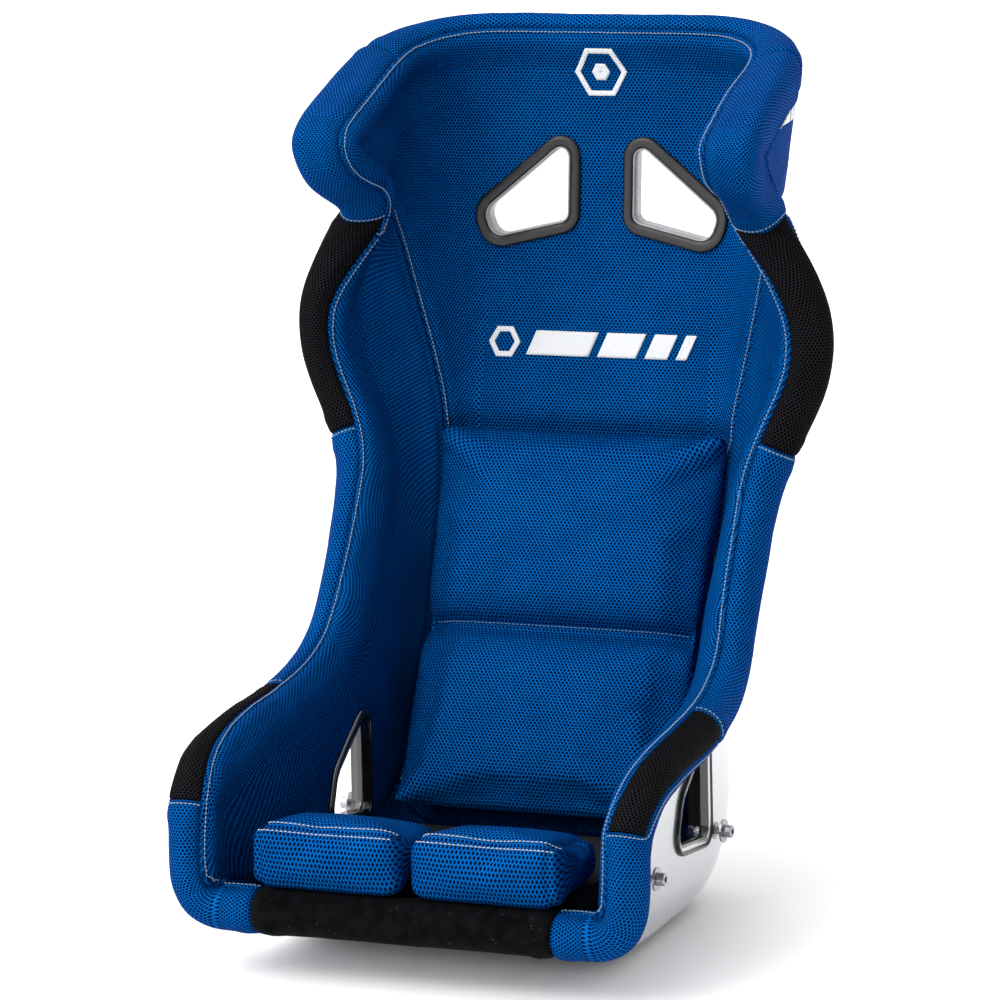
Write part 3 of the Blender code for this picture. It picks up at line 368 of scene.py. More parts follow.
def roll_ring(step):
    """The cage's points round the roll at a path step, from outside the shell to the lining."""
    here, out, normal = edge_frame(step)
    inward, outward = roll_scales(step)
    ring = []
    for past, plain_depth in roll_face(step):
        hugging = plain_depth > 0 and past < -0.02
        depth = plain_depth * (inward if plain_depth < 0 else 1.0 if hugging else outward)
        if past >= 0:
            ring.append(here + out * past + normal * depth)
        else:
            share = -past / EDGE_STEP
            whole = min(int(share), 1)
            i, j = path_point(step, whole)
            m, n = path_point(step, whole + 1)
            near = here + normal * depth if whole == 0 else layer_point(i, j, depth)
            ring.append(near.lerp(layer_point(m, n, depth), share - whole))
    ring.append(lining_point(*path_point(step, 2)))
    if EDGE_PATH[step][1] == 0:
        for point in ring:
            point.x = 0.0
    return ring


def strip_weave(rings):
    """Cloth coordinates on the outer strip: across it from the rim seam, and along its length."""
    along = 0.0
    values = []
    for step, ring in enumerate(rings):
        if step:
            along += (ring[RIM_POINT - 2] - rings[step - 1][RIM_POINT - 2]).length
        row = [Vector((0.0, along, 0.0)) for _ in ring]
        for k in range(RIM_POINT - 1, -1, -1):
            row[k].x = row[k + 1].x + (ring[k] - ring[k + 1]).length
        values.append(row)
    return values


def ring_weave(step, ring):
    """Cloth coordinates of a ring's points, counted outwards from the lining."""
    inner = path_point(step, 2)
    i, j = EDGE_PATH[step]
    way = Vector((j - inner[1], i - inner[0], 0.0))
    way.normalize()
    values = [WEAVE[inner[0]][inner[1]].copy()]
    for a, b in zip(ring[::-1], ring[-2::-1]):
        values.append(values[-1] + way * (a - b).length)
    return values[::-1]


# ---------------------------------------------------------------- the cover's panels

CENTRE = ["pan_panel", "back_panel", "head_top_strip", "front_lip_cover"]
STRIPS = ["thigh_strip", "thigh_patch_cover", "waist_strip", "shoulder_patch_cover", "wing_strip"]
SIDED = ["side_panel"] + STRIPS
INNER_PANELS = ("pan_panel", "back_panel", "side_panel")
PANELS = CENTRE + [f"{name}_{word}" for name in SIDED for _, word in SIDES]


def strip_name(step, k):
    """The outer strip's panel between a path step and the next one, k quads in from its outer edge.

    The black patches stop short of that edge, so that a blue welt runs on outside them.
    """
    if step < LIP_END:
        return "front_lip_cover"
    if step < CORNER:
        return "thigh_strip"
    if step < CORNER + row_of(PATCH_TOP):
        return "thigh_strip" if k < THIGH_WELT else "thigh_patch_cover"
    if step < CORNER + row_of(WAIST_END):
        return "waist_strip"
    if step < CORNER + row_of(WING_START):
        return "waist_strip" if k < SHOULDER_WELT else "shoulder_patch_cover"
    if step < TOP_CORNER + LAST_COLUMN - SEAM_COLUMN:
        return "wing_strip"
    return "head_top_strip"


def inner_name(step):
    """The panel inside the rim seam between a path step and the next one."""
    if step < LIP_END:
        return "front_lip_cover"
    return "side_panel" if step < CORNER + row_of(CROSS) else "back_panel"


def lining_name(i, j):
    """The panel over a grid quad."""
    if i < row_of(PAN_END) and j < SEAM_COLUMN:
        return "pan_panel"
    if i < row_of(CROSS) and j >= SEAM_COLUMN:
        return "side_panel"
    return "back_panel"


def panel_index(name, side):
    if name in CENTRE:
        return PANELS.index(name)
    return PANELS.index(f"{name}_{'left' if side > 0 else 'right'}")


def cover_cage():
    """The whole padded cover as one coarse mesh, with a panel number on each face."""
    bm = bmesh.new()
    weave = bm.verts.layers.float_vector.new("weave")
    strip_layer = bm.verts.layers.float_vector.new("strip")
    made = {}

    def vert(key, point, cloth, strip, side):
        if abs(point.x) < 1e-7:
            side = 0
        if (key, side) not in made:
            sign = side or 1
            new = bm.verts.new((point.x * sign, point.y, point.z))
            new[weave] = (cloth.x * sign, cloth.y, 0.0)
            new[strip_layer] = (strip.x, strip.y, 0.0)
            made[key, side] = new
        return made[key, side]

    def quad(corners, name, side):
        ring = list(dict.fromkeys(corners))
        if len(ring) < 3:
            return
        new = bm.faces.new(ring if side > 0 else ring[::-1])
        new.material_index = panel_index(name, side)
        new.smooth = True

    rings = [roll_ring(step) for step in range(len(EDGE_PATH))]
    cloths = [ring_weave(step, ring) for step, ring in enumerate(rings)]
    strips = strip_weave(rings)
    last = len(rings[0]) - 1
    for side, _ in SIDES:
        def lining(i, j):
            return vert(("lining", i, j), lining_point(i, j), WEAVE[i][j], Vector(), side)

        def rolled(step, k):
            if k == last:
                return lining(*path_point(step, 2))
            return vert(("roll", step, k), rings[step][k], cloths[step][k], strips[step][k], side)

        for i in range(2, LAST_ROW - 2):
            for j in range(LAST_COLUMN - 2):
                corners = (lining(i, j), lining(i, j + 1), lining(i + 1, j + 1), lining(i + 1, j))
                quad(corners, lining_name(i, j), side)
        for step in range(len(EDGE_PATH) - 1):
            for k in range(last):
                name = strip_name(step, k) if k < RIM_POINT else inner_name(step)
                corners = (rolled(step, k), rolled(step + 1, k), rolled(step + 1, k + 1), rolled(step, k + 1))
                quad(corners, name, side)
    bmesh.ops.remove_doubles(bm, verts=bm.verts, dist=1e-6)
    bmesh.ops.dissolve_degenerate(bm, edges=bm.edges, dist=1e-6)
    return bm


def subdivided(bm, levels):
    """The mesh that a Subdivision Surface makes of a bmesh."""
    mesh = bpy.data.meshes.new("cage")
    bm.to_mesh(mesh)
    bm.free()
    cage = bpy.data.objects.new("cage", mesh)
    bpy.context.scene.collection.objects.link(cage)
    modifier = cage.modifiers.new("Subdivision", "SUBSURF")
    modifier.levels = levels
    modifier.render_levels = levels
    modifier.boundary_smooth = "PRESERVE_CORNERS"
    made = bpy.data.meshes.new_from_object(cage.evaluated_get(bpy.context.evaluated_depsgraph_get()))
    bpy.data.objects.remove(cage)
    bpy.data.meshes.remove(mesh)
    return made


def tree_of(mesh):
    return BVHTree.FromPolygons([v.co for v in mesh.vertices], [p.vertices for p in mesh.polygons])


def normals_of(mesh):
    return [n.vector.copy() for n in mesh.vertex_normals]


# ---------------------------------------------------------------- material graphs

class Graph:
    """A material's node tree, with short calls for what the materials below are made of."""

    def __init__(self, name):
        self.material = bpy.data.materials.new(name)
        self.material.use_nodes = True
        self.tree = self.material.node_tree
        self.shader = self.tree.nodes["Principled BSDF"]

    def node(self, kind, inputs=(), **settings):
        made = self.tree.nodes.new("ShaderNode" + kind)
        for key, value in settings.items():
            setattr(made, key, value)
        for key, value in dict(inputs).items():
            self.give(made.inputs[key], value)
        return made

    def give(self, socket, value):
        if isinstance(value, bpy.types.NodeSocket):
            self.tree.links.new(value, socket)
        else:
            socket.default_value = value

    def math(self, operation, *values, clamp=False):
        return self.node("Math", dict(enumerate(values)), operation=operation, use_clamp=clamp).outputs[0]

    def position(self):
        return self.node("TexCoord").outputs["Object"]

    def noise(self, scale, detail=2.0, roughness=0.5, vector=None, output=0):
        vector = vector or self.position()
        inputs = {"Vector": vector, "Scale": scale, "Detail": detail, "Roughness": roughness}
        return self.node("TexNoise", inputs).outputs[output]

    def ramp(self, value, low, high, start=0.0, end=1.0):
        """Maps low..high to start..end, clamped."""
        inputs = {0: value, 1: low, 2: high, 3: start, 4: end}
        return self.node("MapRange", inputs, interpolation_type="SMOOTHSTEP").outputs[0]

    def mix(self, share, a, b):
        made = self.node("Mix", data_type="RGBA")
        self.give(made.inputs[0], share)
        self.give(made.inputs[6], a)
        self.give(made.inputs[7], b)
        return made.outputs[2]

    def bump(self, height, distance, strength=1.0):
        inputs = {"Height": height, "Distance": distance, "Strength": strength}
        self.give(self.shader.inputs["Normal"], self.node("Bump", inputs).outputs[0])

    def set(self, **values):
        """Sets shader sockets, named with underscores for spaces."""
        for key, value in values.items():
            self.give(self.shader.inputs[key.replace("_", " ")], value)
        return self.material


def rgb(red, green, blue):
    return (red, green, blue, 1.0)


def spacer_mesh(name, thread, light_thread, hole, pitch=0.0041, row=0.0031):
    """Open spacer mesh: staggered oval holes in a fine rib over a darker backing, with painted shade in the
    holes and the rib's grooves, and a painted highlight on the crests between the holes.
    """
    g = Graph(name)
    cloth = g.node("Attribute", attribute_name="weave", attribute_type="GEOMETRY").outputs["Vector"]
    wander = g.noise(60.0, vector=cloth, output=1)
    shift = g.node("VectorMath", {0: wander, 1: (0.5, 0.5, 0.5)}, operation="SUBTRACT").outputs[0]
    shift = g.node("VectorMath", {0: shift, "Scale": 0.0012}, operation="SCALE").outputs[0]
    cloth = g.node("VectorMath", {0: cloth, 1: shift}, operation="ADD").outputs[0]
    split = g.node("SeparateXYZ", {0: cloth})
    near_u = g.math("PINGPONG", split.outputs[0], pitch / 2)
    near_v = g.math("PINGPONG", split.outputs[1], row)
    far_u = g.math("SUBTRACT", pitch / 2, near_u)
    far_v = g.math("SUBTRACT", row, near_v)
    reach = []
    for u, v in ((near_u, near_v), (far_u, far_v)):
        u = g.math("DIVIDE", u, 0.35 * pitch)
        v = g.math("DIVIDE", v, 0.45 * row)
        reach.append(g.math("ADD", g.math("MULTIPLY", u, u), g.math("MULTIPLY", v, v)))
    open_hole = g.math("MINIMUM", *reach)
    solid = g.ramp(open_hole, 0.35, 1.35)
    crest = g.ramp(open_hole, 1.0, 2.1)
    diagonal = g.math("ADD", split.outputs[0], split.outputs[1])
    rib = g.ramp(g.math("PINGPONG", diagonal, 0.00045), 0.0, 0.00045)
    patchy = g.noise(22.0, 3.0)
    fibre = g.noise(900.0, 1.0, vector=cloth)
    light = g.mix(g.ramp(patchy, 0.3, 0.7, 0.2, 0.6), thread, light_thread)
    # Painted highlight: the crests between the holes are lightened towards the light thread colour.
    light = g.mix(g.math("MULTIPLY", crest, 0.7), light, light_thread)
    # Painted shade: the rib's grooves, which the bump lowers, are darkened towards the hole colour.
    light = g.mix(g.math("MULTIPLY", rib, 0.45), light, hole)
    light = g.mix(g.ramp(fibre, 0.35, 0.75, 0.0, 0.25), light, light_thread)
    # The holes take the hole colour: the backing's own darker tone, with painted shade in the holes.
    colour = g.mix(solid, hole, light)
    height = g.math("ADD", solid, g.math("MULTIPLY", g.math("SUBTRACT", 1.0, rib), 0.18))
    height = g.math("ADD", height, g.math("MULTIPLY", crest, 0.25))
    g.bump(height, 0.0007, 0.8)
    roughness = g.ramp(solid, 0.0, 1.0, 0.95, 0.46)
    g.set(Base_Color=colour, Roughness=roughness, Metallic=0.6, Specular_IOR_Level=0.04)
    g.set(Specular_Tint=light_thread, Sheen_Weight=0.03, Sheen_Roughness=0.35)
    return g.set(Sheen_Tint=light_thread)


def suede():
    """Black suede: short nap in soft patches, with pale lint."""
    g = Graph("suede")
    nap = g.noise(70.0, 4.0)
    fibre = g.noise(1300.0, 2.0)
    lint = g.node("TexVoronoi", {"Vector": g.position(), "Scale": 170.0}, feature="F1").outputs["Distance"]
    lint = g.math("MULTIPLY", g.ramp(lint, 0.05, 0.11, 1.0, 0.0), g.ramp(g.noise(40.0), 0.5, 0.62))
    colour = g.mix(g.ramp(nap, 0.3, 0.7), rgb(0.0008, 0.0009, 0.0014), rgb(0.0030, 0.0031, 0.0042))
    colour = g.mix(g.math("MULTIPLY", lint, 0.35), colour, rgb(0.30, 0.30, 0.31))
    g.bump(g.math("ADD", fibre, g.math("MULTIPLY", nap, 0.7)), 0.0006, 0.6)
    g.set(Base_Color=colour, Roughness=g.ramp(nap, 0.2, 0.8, 0.98, 0.8))
    g.set(Sheen_Weight=0.015, Sheen_Roughness=0.5, Sheen_Tint=rgb(0.4, 0.4, 0.45))
    return g.set(Specular_IOR_Level=0.05)


def lacquer():
    """Silver lacquer over a moulded shell: fine flake, faint orange peel, and rougher scuffed patches near
    the base, darkened there as painted shade near the floor.
    """
    g = Graph("silver_lacquer")
    flake = g.noise(900.0, 1.0)
    cloud = g.noise(6.0, 3.0)
    height = g.node("SeparateXYZ", {0: g.position()}).outputs[2]
    scuff = g.noise(160.0, 4.0, 0.7)
    # Scuffed patches within a few centimetres of the floor: rougher, and darkened as painted shade near the
    # floor.
    base_scuff_and_shade = g.math("MULTIPLY", g.ramp(scuff, 0.56, 0.66), g.ramp(height, 0.005, 0.05, 0.7, 0.0))
    colour = g.mix(g.ramp(flake, 0.35, 0.7), rgb(0.50, 0.51, 0.53), rgb(0.53, 0.54, 0.56))
    colour = g.mix(g.ramp(cloud, 0.3, 0.7, 0.0, 0.25), colour, rgb(0.47, 0.48, 0.50))
    colour = g.mix(base_scuff_and_shade, colour, rgb(0.30, 0.30, 0.31))
    g.bump(g.noise(60.0, 1.0), 0.00005, 0.15)
    g.set(Base_Color=colour, Metallic=0.9, Roughness=g.ramp(base_scuff_and_shade, 0.0, 1.0, 0.24, 0.6))
    return g.set(Coat_Weight=1.0, Coat_Roughness=0.04)


def moulded(name, colour, roughness, grain=0.5, coat=0.0):
    """Moulded plastic or rubber with a fine grain and faint scuffs."""
    g = Graph(name)
    fine = g.noise(1500.0, 2.0)
    scuff = g.noise(90.0, 5.0, 0.65)
    lighter = tuple(min(1.0, c * 1.6 + 0.008) for c in colour[:3]) + (1.0,)
    mixed = g.mix(g.ramp(scuff, 0.5, 0.75, 0.0, 0.5), colour, lighter)
    g.bump(g.math("ADD", fine, g.math("MULTIPLY", scuff, 0.5)), 0.00012, grain)
    g.set(Base_Color=mixed, Roughness=g.ramp(scuff, 0.3, 0.7, roughness * 0.85, roughness * 1.2))
    return g.set(Coat_Weight=coat, Coat_Roughness=0.1)


def plated(name, colour, roughness):
    """Zinc-plated steel with a fine grain and small dull spots."""
    g = Graph(name)
    spots = g.noise(240.0, 4.0, 0.7)
    fine = g.noise(2200.0, 1.0)
    mixed = g.mix(g.ramp(spots, 0.5, 0.72, 0.0, 0.5), colour, rgb(0.42, 0.42, 0.43))
    g.bump(fine, 0.00003, 0.5)
    g.set(Base_Color=mixed, Metallic=1.0)
    return g.set(Roughness=g.ramp(spots, 0.35, 0.7, roughness, roughness * 1.8))


def thread(name, colour):
    """Twisted sewing thread."""
    g = Graph(name)
    twist = g.node("TexWave", {"Vector": g.position(), "Scale": 700.0, "Distortion": 1.5}).outputs[1]
    fuzz = g.noise(1800.0, 2.0)
    dark = tuple(c * 0.6 for c in colour[:3]) + (1.0,)
    g.bump(twist, 0.0002, 0.6)
    g.set(Base_Color=g.mix(g.ramp(fuzz, 0.3, 0.7, 0.0, 0.6), colour, dark), Roughness=0.7)
    return g.set(Sheen_Weight=0.3, Sheen_Roughness=0.4)


def coarse_cloth(name, colour, scale):
    """Plain woven cloth, or hook tape."""
    g = Graph(name)
    loops = g.node("TexVoronoi", {"Vector": g.position(), "Scale": scale}, feature="F1").outputs["Distance"]
    lighter = tuple(c * 2.2 for c in colour[:3]) + (1.0,)
    g.bump(loops, 0.0008, 0.7)
    g.set(Base_Color=g.mix(g.ramp(loops, 0.1, 0.6), lighter, colour), Sheen_Weight=0.02)
    return g.set(Roughness=g.ramp(loops, 0.0, 0.6, 0.85, 1.0), Specular_IOR_Level=0.1)


LOOKS = {
    # Each mesh's colours are thread, light thread and holes. The hole colour carries painted shade in the
    # holes and grooves, and the light thread gives the painted highlight on the crests.
    "blue_mesh": spacer_mesh("blue_mesh", rgb(0.0005, 0.055, 0.238), rgb(0.0012, 0.138, 0.490),
                             rgb(0.0003, 0.0085, 0.045)),
    "black_mesh": spacer_mesh("black_mesh", rgb(0.009, 0.009, 0.011), rgb(0.020, 0.020, 0.023),
                              rgb(0.0015, 0.0015, 0.002)),
    "black_suede": suede(),
    "silver_shell": lacquer(),
    "black_plastic": moulded("satin_black", rgb(0.004, 0.004, 0.0045), 0.40, 0.35, 0.0),
    "grey_sleeve": moulded("grey_lacquer", rgb(0.26, 0.27, 0.28), 0.30, 0.03, 0.2),
    "rubber_seal": moulded("gloss_rubber", rgb(0.003, 0.003, 0.003), 0.22, 0.05, 0.12),
    "bright_steel": plated("bright_zinc", rgb(0.38, 0.38, 0.40), 0.20),
    "zinc_insert": plated("plain_zinc", rgb(0.62, 0.63, 0.64), 0.26),
    "hook_tape": coarse_cloth("hook_tape", rgb(0.010, 0.010, 0.011), 900.0),
    # Base cloth: its own dark tone, made near-black as painted shade in the pan's hollow between the
    # cushions.
    "base_foam": coarse_cloth("base_cloth_and_shade", rgb(0.0015, 0.002, 0.003), 500.0),
    "gloss_black": moulded("gloss_black", rgb(0.004, 0.004, 0.005), 0.12, 0.08, 0.8),
    "pale_thread": thread("pale_thread", rgb(0.27, 0.36, 0.47)),
    "white_thread": thread("white_thread", rgb(0.55, 0.60, 0.67)),
    "dim_thread": thread("dim_thread", rgb(0.10, 0.24, 0.48)),
    "embroidery": thread("embroidery", rgb(0.80, 0.81, 0.83)),
}


# ---------------------------------------------------------------- pieces

def add_piece(name, mesh, look, body, nodes=()):
    """A visible piece: its material, the body it rides on and the CAD nodes it stands for."""
    made = bpy.data.objects.new(name, mesh)
    bpy.context.scene.collection.objects.link(made)
    mesh.materials.clear()
    mesh.materials.append(LOOKS[look])
    mesh.polygons.foreach_set("material_index", [0] * len(mesh.polygons))
    mesh.polygons.foreach_set("use_smooth", [True] * len(mesh.polygons))
    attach(made, body)
    if nodes:
        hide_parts(*nodes)
    return made


def mesh_from(name, verts, faces):
    mesh = bpy.data.meshes.new(name)
    mesh.from_pydata([tuple(v) for v in verts], [], faces)
    mesh.validate()
    mesh.update()
    return mesh


def joined(parts):
    """One list of vertices and one of faces from (vertices, faces) pairs."""
    verts, faces = [], []
    for some_verts, some_faces in parts:
        faces += [tuple(n + len(verts) for n in face) for face in some_faces]
        verts += some_verts
    return verts, faces


def lofted(rings, closed):
    """Vertices and faces through equal rings, each of them closed, and joined end to end if closed."""
    size = len(rings[0])
    faces = []
    for m in range(len(rings) if closed else len(rings) - 1):
        a, b = m * size, (m + 1) % len(rings) * size
        for n in range(size):
            k = (n + 1) % size
            faces.append((a + n, a + k, b + k, b + n))
    return [point for ring in rings for point in ring], faces


def add_solidify(target, thickness, offset=-1.0):
    modifier = target.modifiers.new("Thickness", "SOLIDIFY")
    modifier.thickness = thickness
    modifier.offset = offset


def rounded_outline(corners, grow=0.0, arc=8, spacing=0.006):
    """A closed outline with round corners, grown outwards, with points along its straight sides too."""
    points = []
    count = len(corners)
    for n in range(count):
        corner, radius = corners[n]
        here = Vector(corner)
        before = (Vector(corners[n - 1][0]) - here).normalized()
        after = (Vector(corners[(n + 1) % count][0]) - here).normalized()
        half = before.angle(after) / 2
        centre = here + (before + after).normalized() * (radius / math.sin(half))
        first = math.atan2(before.x, -before.y)
        for step in range(arc + 1):
            angle = first + (math.pi - 2 * half) * step / arc
            points.append(centre + Vector((math.cos(angle), math.sin(angle))) * (radius + grow))
    filled = []
    for a, b in zip(points, points[1:] + points[:1]):
        steps = max(1, round((b - a).length / spacing))
        filled += [a.lerp(b, step / steps) for step in range(steps)]
    return filled


def inside_outline(outline, u, v):
    """Whether a point lies inside a closed outline."""
    inside = False
    for a, b in zip(outline, outline[1:] + outline[:1]):
        if (a.y > v) != (b.y > v) and u < (b.x - a.x) * (v - a.y) / (b.y - a.y) + a.x:
            inside = not inside
    return inside


AXES = {"X": Vector((1, 0, 0)), "Y": Vector((0, 1, 0)), "Z": Vector((0, 0, -1))}
RAY_START = {"X": 0.0, "Y": 0.0, "Z": 0.09}


def axis_place(axis, u, v, w):
    """A point from two outline coordinates and one along the slot's axis."""
    if axis == "Y":
        return Vector((u, w + CENTRING, v))
    if axis == "X":
        return Vector((w, u + CENTRING, v))
    return Vector((u, v + CENTRING, w))


def slot_coordinates(axis, point):
    """The two outline coordinates of a point, on the left half."""
    if axis == "Y":
        return abs(point.x), point.z
    if axis == "X":
        return point.y - CENTRING, point.z
    return point.x, point.y - CENTRING


def in_reach(axis, point):
    """Whether a point is on the part of the seat that slots along this axis go through."""
    if axis == "Y":
        return point.y > 0.2
    if axis == "X":
        return abs(point.x) > 0.12
    return point.z < 0.06


HOLES = (("Y", SHOULDER_SLOT), ("X", LAP_SLOT), ("Z", CROTCH_SLOT))
SHELL_GAP, COVER_GAP = 0.0035, 0.0050       # how much wider than the slots their holes are cut
SLEEVE = 0.0016                             # thickness of a slot's wall


def open_slots(mesh, grow):
    """Removes the faces inside the belt slots. The slots' trim covers the edge that this leaves."""
    outlines = [(axis, rounded_outline(corners, grow, 4, 0.02)) for axis, corners in HOLES]
    bm = bmesh.new()
    bm.from_mesh(mesh)
    doomed = []
    for face in bm.faces:
        centre = face.calc_center_median()
        for axis, outline in outlines:
            if in_reach(axis, centre) and inside_outline(outline, *slot_coordinates(axis, centre)):
                doomed.append(face)
                break
    bmesh.ops.delete(bm, geom=doomed, context="FACES")
    bm.to_mesh(mesh)
    bm.free()


# ---------------------------------------------------------------- the shell

def build_shell():
    """The moulded shell's skin, as thick as its wall."""
    bm = bmesh.new()
    made = {}
    for side, _ in SIDES:
        for i in range(LAST_ROW + 1):
            for j in range(LAST_COLUMN + 1):
                key = (i, j, side if j else 0)
                if key not in made:
                    point = GRID[i][j]
                    made[key] = bm.verts.new((point.x * side, point.y, point.z))
        for i in range(LAST_ROW):
            for j in range(LAST_COLUMN):
                corners = [(i, j), (i, j + 1), (i + 1, j + 1), (i + 1, j)]
                ring = [made[m, n, side if n else 0] for m, n in corners]
                bm.faces.new(ring if side > 0 else ring[::-1])
    mesh = subdivided(bm, COVER_LEVELS)
    tree = tree_of(mesh)
    open_slots(mesh, SHELL_GAP)
    shell = add_piece("shell_skin", mesh, "silver_shell", "seat", nodes=["shell"])
    lowest = min(mesh.polygons, key=lambda p: p.center.z)
    add_solidify(shell, SHELL, 1.0 if lowest.normal.z < 0 else -1.0)
    return tree


# ---------------------------------------------------------------- the padded cover

# Depths, distances from the seam and widths of what runs along each seam: the seam itself, the folded edge
# between it and its topstitch, the topstitch, and the padding's swell beyond them.
SEAM_DEPTH, SEAM_WIDTH = 0.0022, 0.0026
FOLD_HEIGHT, FOLD_AT, FOLD_WIDTH = 0.0009, 0.0034, 0.0026
STITCH_DEPTH, STITCH_AT, STITCH_WIDTH = 0.0012, 0.0066, 0.0026
PUFF_HEIGHT, PUFF_AT, PUFF_WIDTH = 0.0012, 0.0150, 0.0070


def seam_edges(mesh):
    """Edges between different panels, as {(panel, panel): [(vertex, vertex), ...]}."""
    owner = {}
    found = {}
    for polygon in mesh.polygons:
        for key in polygon.edge_keys:
            other = owner.get(key)
            if other is None:
                owner[key] = polygon.material_index
            elif other != polygon.material_index:
                pair = tuple(sorted((other, polygon.material_index)))
                found.setdefault(pair, []).append(key)
    return found


def chained(edges):
    """Edges joined into runs of vertices."""
    links = {}
    for a, b in edges:
        links.setdefault(a, []).append(b)
        links.setdefault(b, []).append(a)
    runs = []
    unused = {tuple(sorted(e)) for e in edges}
    starts = [v for v, n in links.items() if len(n) == 1] + list(links)
    for start in starts:
        run = [start]
        while True:
            here = run[-1]
            onward = [v for v in links[here] if tuple(sorted((here, v))) in unused]
            if not onward:
                break
            unused.discard(tuple(sorted((here, onward[0]))))
            run.append(onward[0])
        if len(run) > 1:
            runs.append(run)
    return runs


def bell(value, middle, width):
    """A smooth bump of height 1."""
    return math.exp(-((value - middle) / width) ** 2)


# The back cushion's front face, along its middle, and where its cross seam lies.
BACK_LOW, BACK_HIGH, BACK_SEAM = Vector((0.0, 0.038, 0.077)), Vector((0.0, 0.214, 0.446)), 0.486
CREASE_DEPTH, CREASE_AT, CREASE_WIDTH = 0.0085, 0.002, 0.016


def crease(place):
    """How far the cover dips where it meets the back cushion's upper edge."""
    past = (place - BACK_HIGH).dot((BACK_HIGH - BACK_LOW).normalized())
    across = 1.0 - smooth_step(abs(place.x), 0.142, 0.168)
    return CREASE_DEPTH * bell(past, CREASE_AT, CREASE_WIDTH) * across


def puff(mesh, seams):
    """Sinks the seams into the padding, folds the inner panels' edges, and adds unevenness."""
    points = {v for edges in seams.values() for edge in edges for v in edge}
    tree = KDTree(len(points))
    for v in points:
        tree.insert(mesh.vertices[v].co, v)
    tree.balance()
    soft = {index for index, name in enumerate(PANELS) if name.startswith(INNER_PANELS)}
    inner = set()
    for polygon in mesh.polygons:
        if polygon.material_index in soft:
            inner.update(polygon.vertices)
    normals = normals_of(mesh)
    moved = []
    for vertex, normal in zip(mesh.vertices, normals):
        place = vertex.co
        distance = tree.find(place)[2]
        pucker = 1.0 + 0.30 * noise.noise(place * 95.0)
        offset = -SEAM_DEPTH * bell(distance, 0.0, SEAM_WIDTH)
        offset += PUFF_HEIGHT * pucker * bell(distance, PUFF_AT, PUFF_WIDTH)
        if vertex.index in inner:
            offset += FOLD_HEIGHT * pucker * bell(distance, FOLD_AT, FOLD_WIDTH)
            offset -= STITCH_DEPTH * pucker * bell(distance, STITCH_AT, STITCH_WIDTH) + crease(place)
        offset += 0.0010 * noise.noise(place * 13.0) + 0.0004 * noise.noise(place * 38.0)
        moved.append(place + normal * offset)
    for vertex, place in zip(mesh.vertices, moved):
        vertex.co = place
    mesh.update()


def panel_mesh(mesh, index, name, strip):
    """The faces of one panel as a mesh of their own, with its own cloth coordinates."""
    bm = bmesh.new()
    bm.from_mesh(mesh)
    others = [f for f in bm.faces if f.material_index != index]
    bmesh.ops.delete(bm, geom=others, context="FACES")
    if strip:
        weave, own = (bm.verts.layers.float_vector[key] for key in ("weave", "strip"))
        for vertex in bm.verts:
            vertex[weave] = vertex[own]
    made = bpy.data.meshes.new(name)
    bm.to_mesh(made)
    bm.free()
    return made


PANEL_LOOK = {
    "thigh_patch_cover": "black_mesh", "shoulder_patch_cover": "black_mesh", "front_lip_cover": "black_suede",
}
PANEL_NODES = {
    "pan_panel": ["seat_pan_lining"],
    "back_panel": ["backrest_lining", "headrest_lining"],
    "head_top_strip": ["head_top_roll"],
    "front_lip_cover": ["front_lip_trim"],
    "side_panel": ["side_lining"],
    "thigh_strip": ["thigh_bolster"],
    "thigh_patch_cover": ["thigh_patch"],
    "waist_strip": ["side_bolster"],
    "shoulder_patch_cover": ["shoulder_patch", "shoulder_bolster"],
    "wing_strip": ["head_wing_pad"],
}


def build_cover():
    """All panels of the padded cover, and what the stitching needs: meshes, seams and search trees."""
    mesh = subdivided(cover_cage(), COVER_LEVELS)
    seams = seam_edges(mesh)
    puff(mesh, seams)
    trees = {}
    for index, name in enumerate(PANELS):
        word = name.rsplit("_", 1)[1]
        sided = word in ("left", "right")
        kind = name.rsplit("_", 1)[0] if sided else name
        nodes = [f"{n}_{word}" if sided else n for n in PANEL_NODES[kind]]
        panel = panel_mesh(mesh, index, name, kind not in INNER_PANELS)
        trees[name] = tree_of(panel)
        if kind in INNER_PANELS:
            open_slots(panel, COVER_GAP)
        made = add_piece(name, panel, PANEL_LOOK.get(kind, "blue_mesh"), "seat", nodes=nodes)
        add_solidify(made, CLOTH)
    return mesh, seams, trees


# ---------------------------------------------------------------- stitching

STITCH_PITCH, STITCH_LENGTH, THREAD = 0.0043, 0.0033, 0.00058
CROSS_STITCH_AT, BACK_STITCH_AT = 0.0046, 0.0040
SEAM_SMOOTHING, RIM_SMOOTHING = 6, 24       # rounds that take the cage's corners out of a stitch line


def resampled(points, spacing):
    """Points at an even spacing along a line."""
    lengths = cumulative(points)
    count = max(1, int(lengths[-1] / spacing))
    return [Vector(at_length(points, lengths, lengths[-1] * n / count)) for n in range(count + 1)]


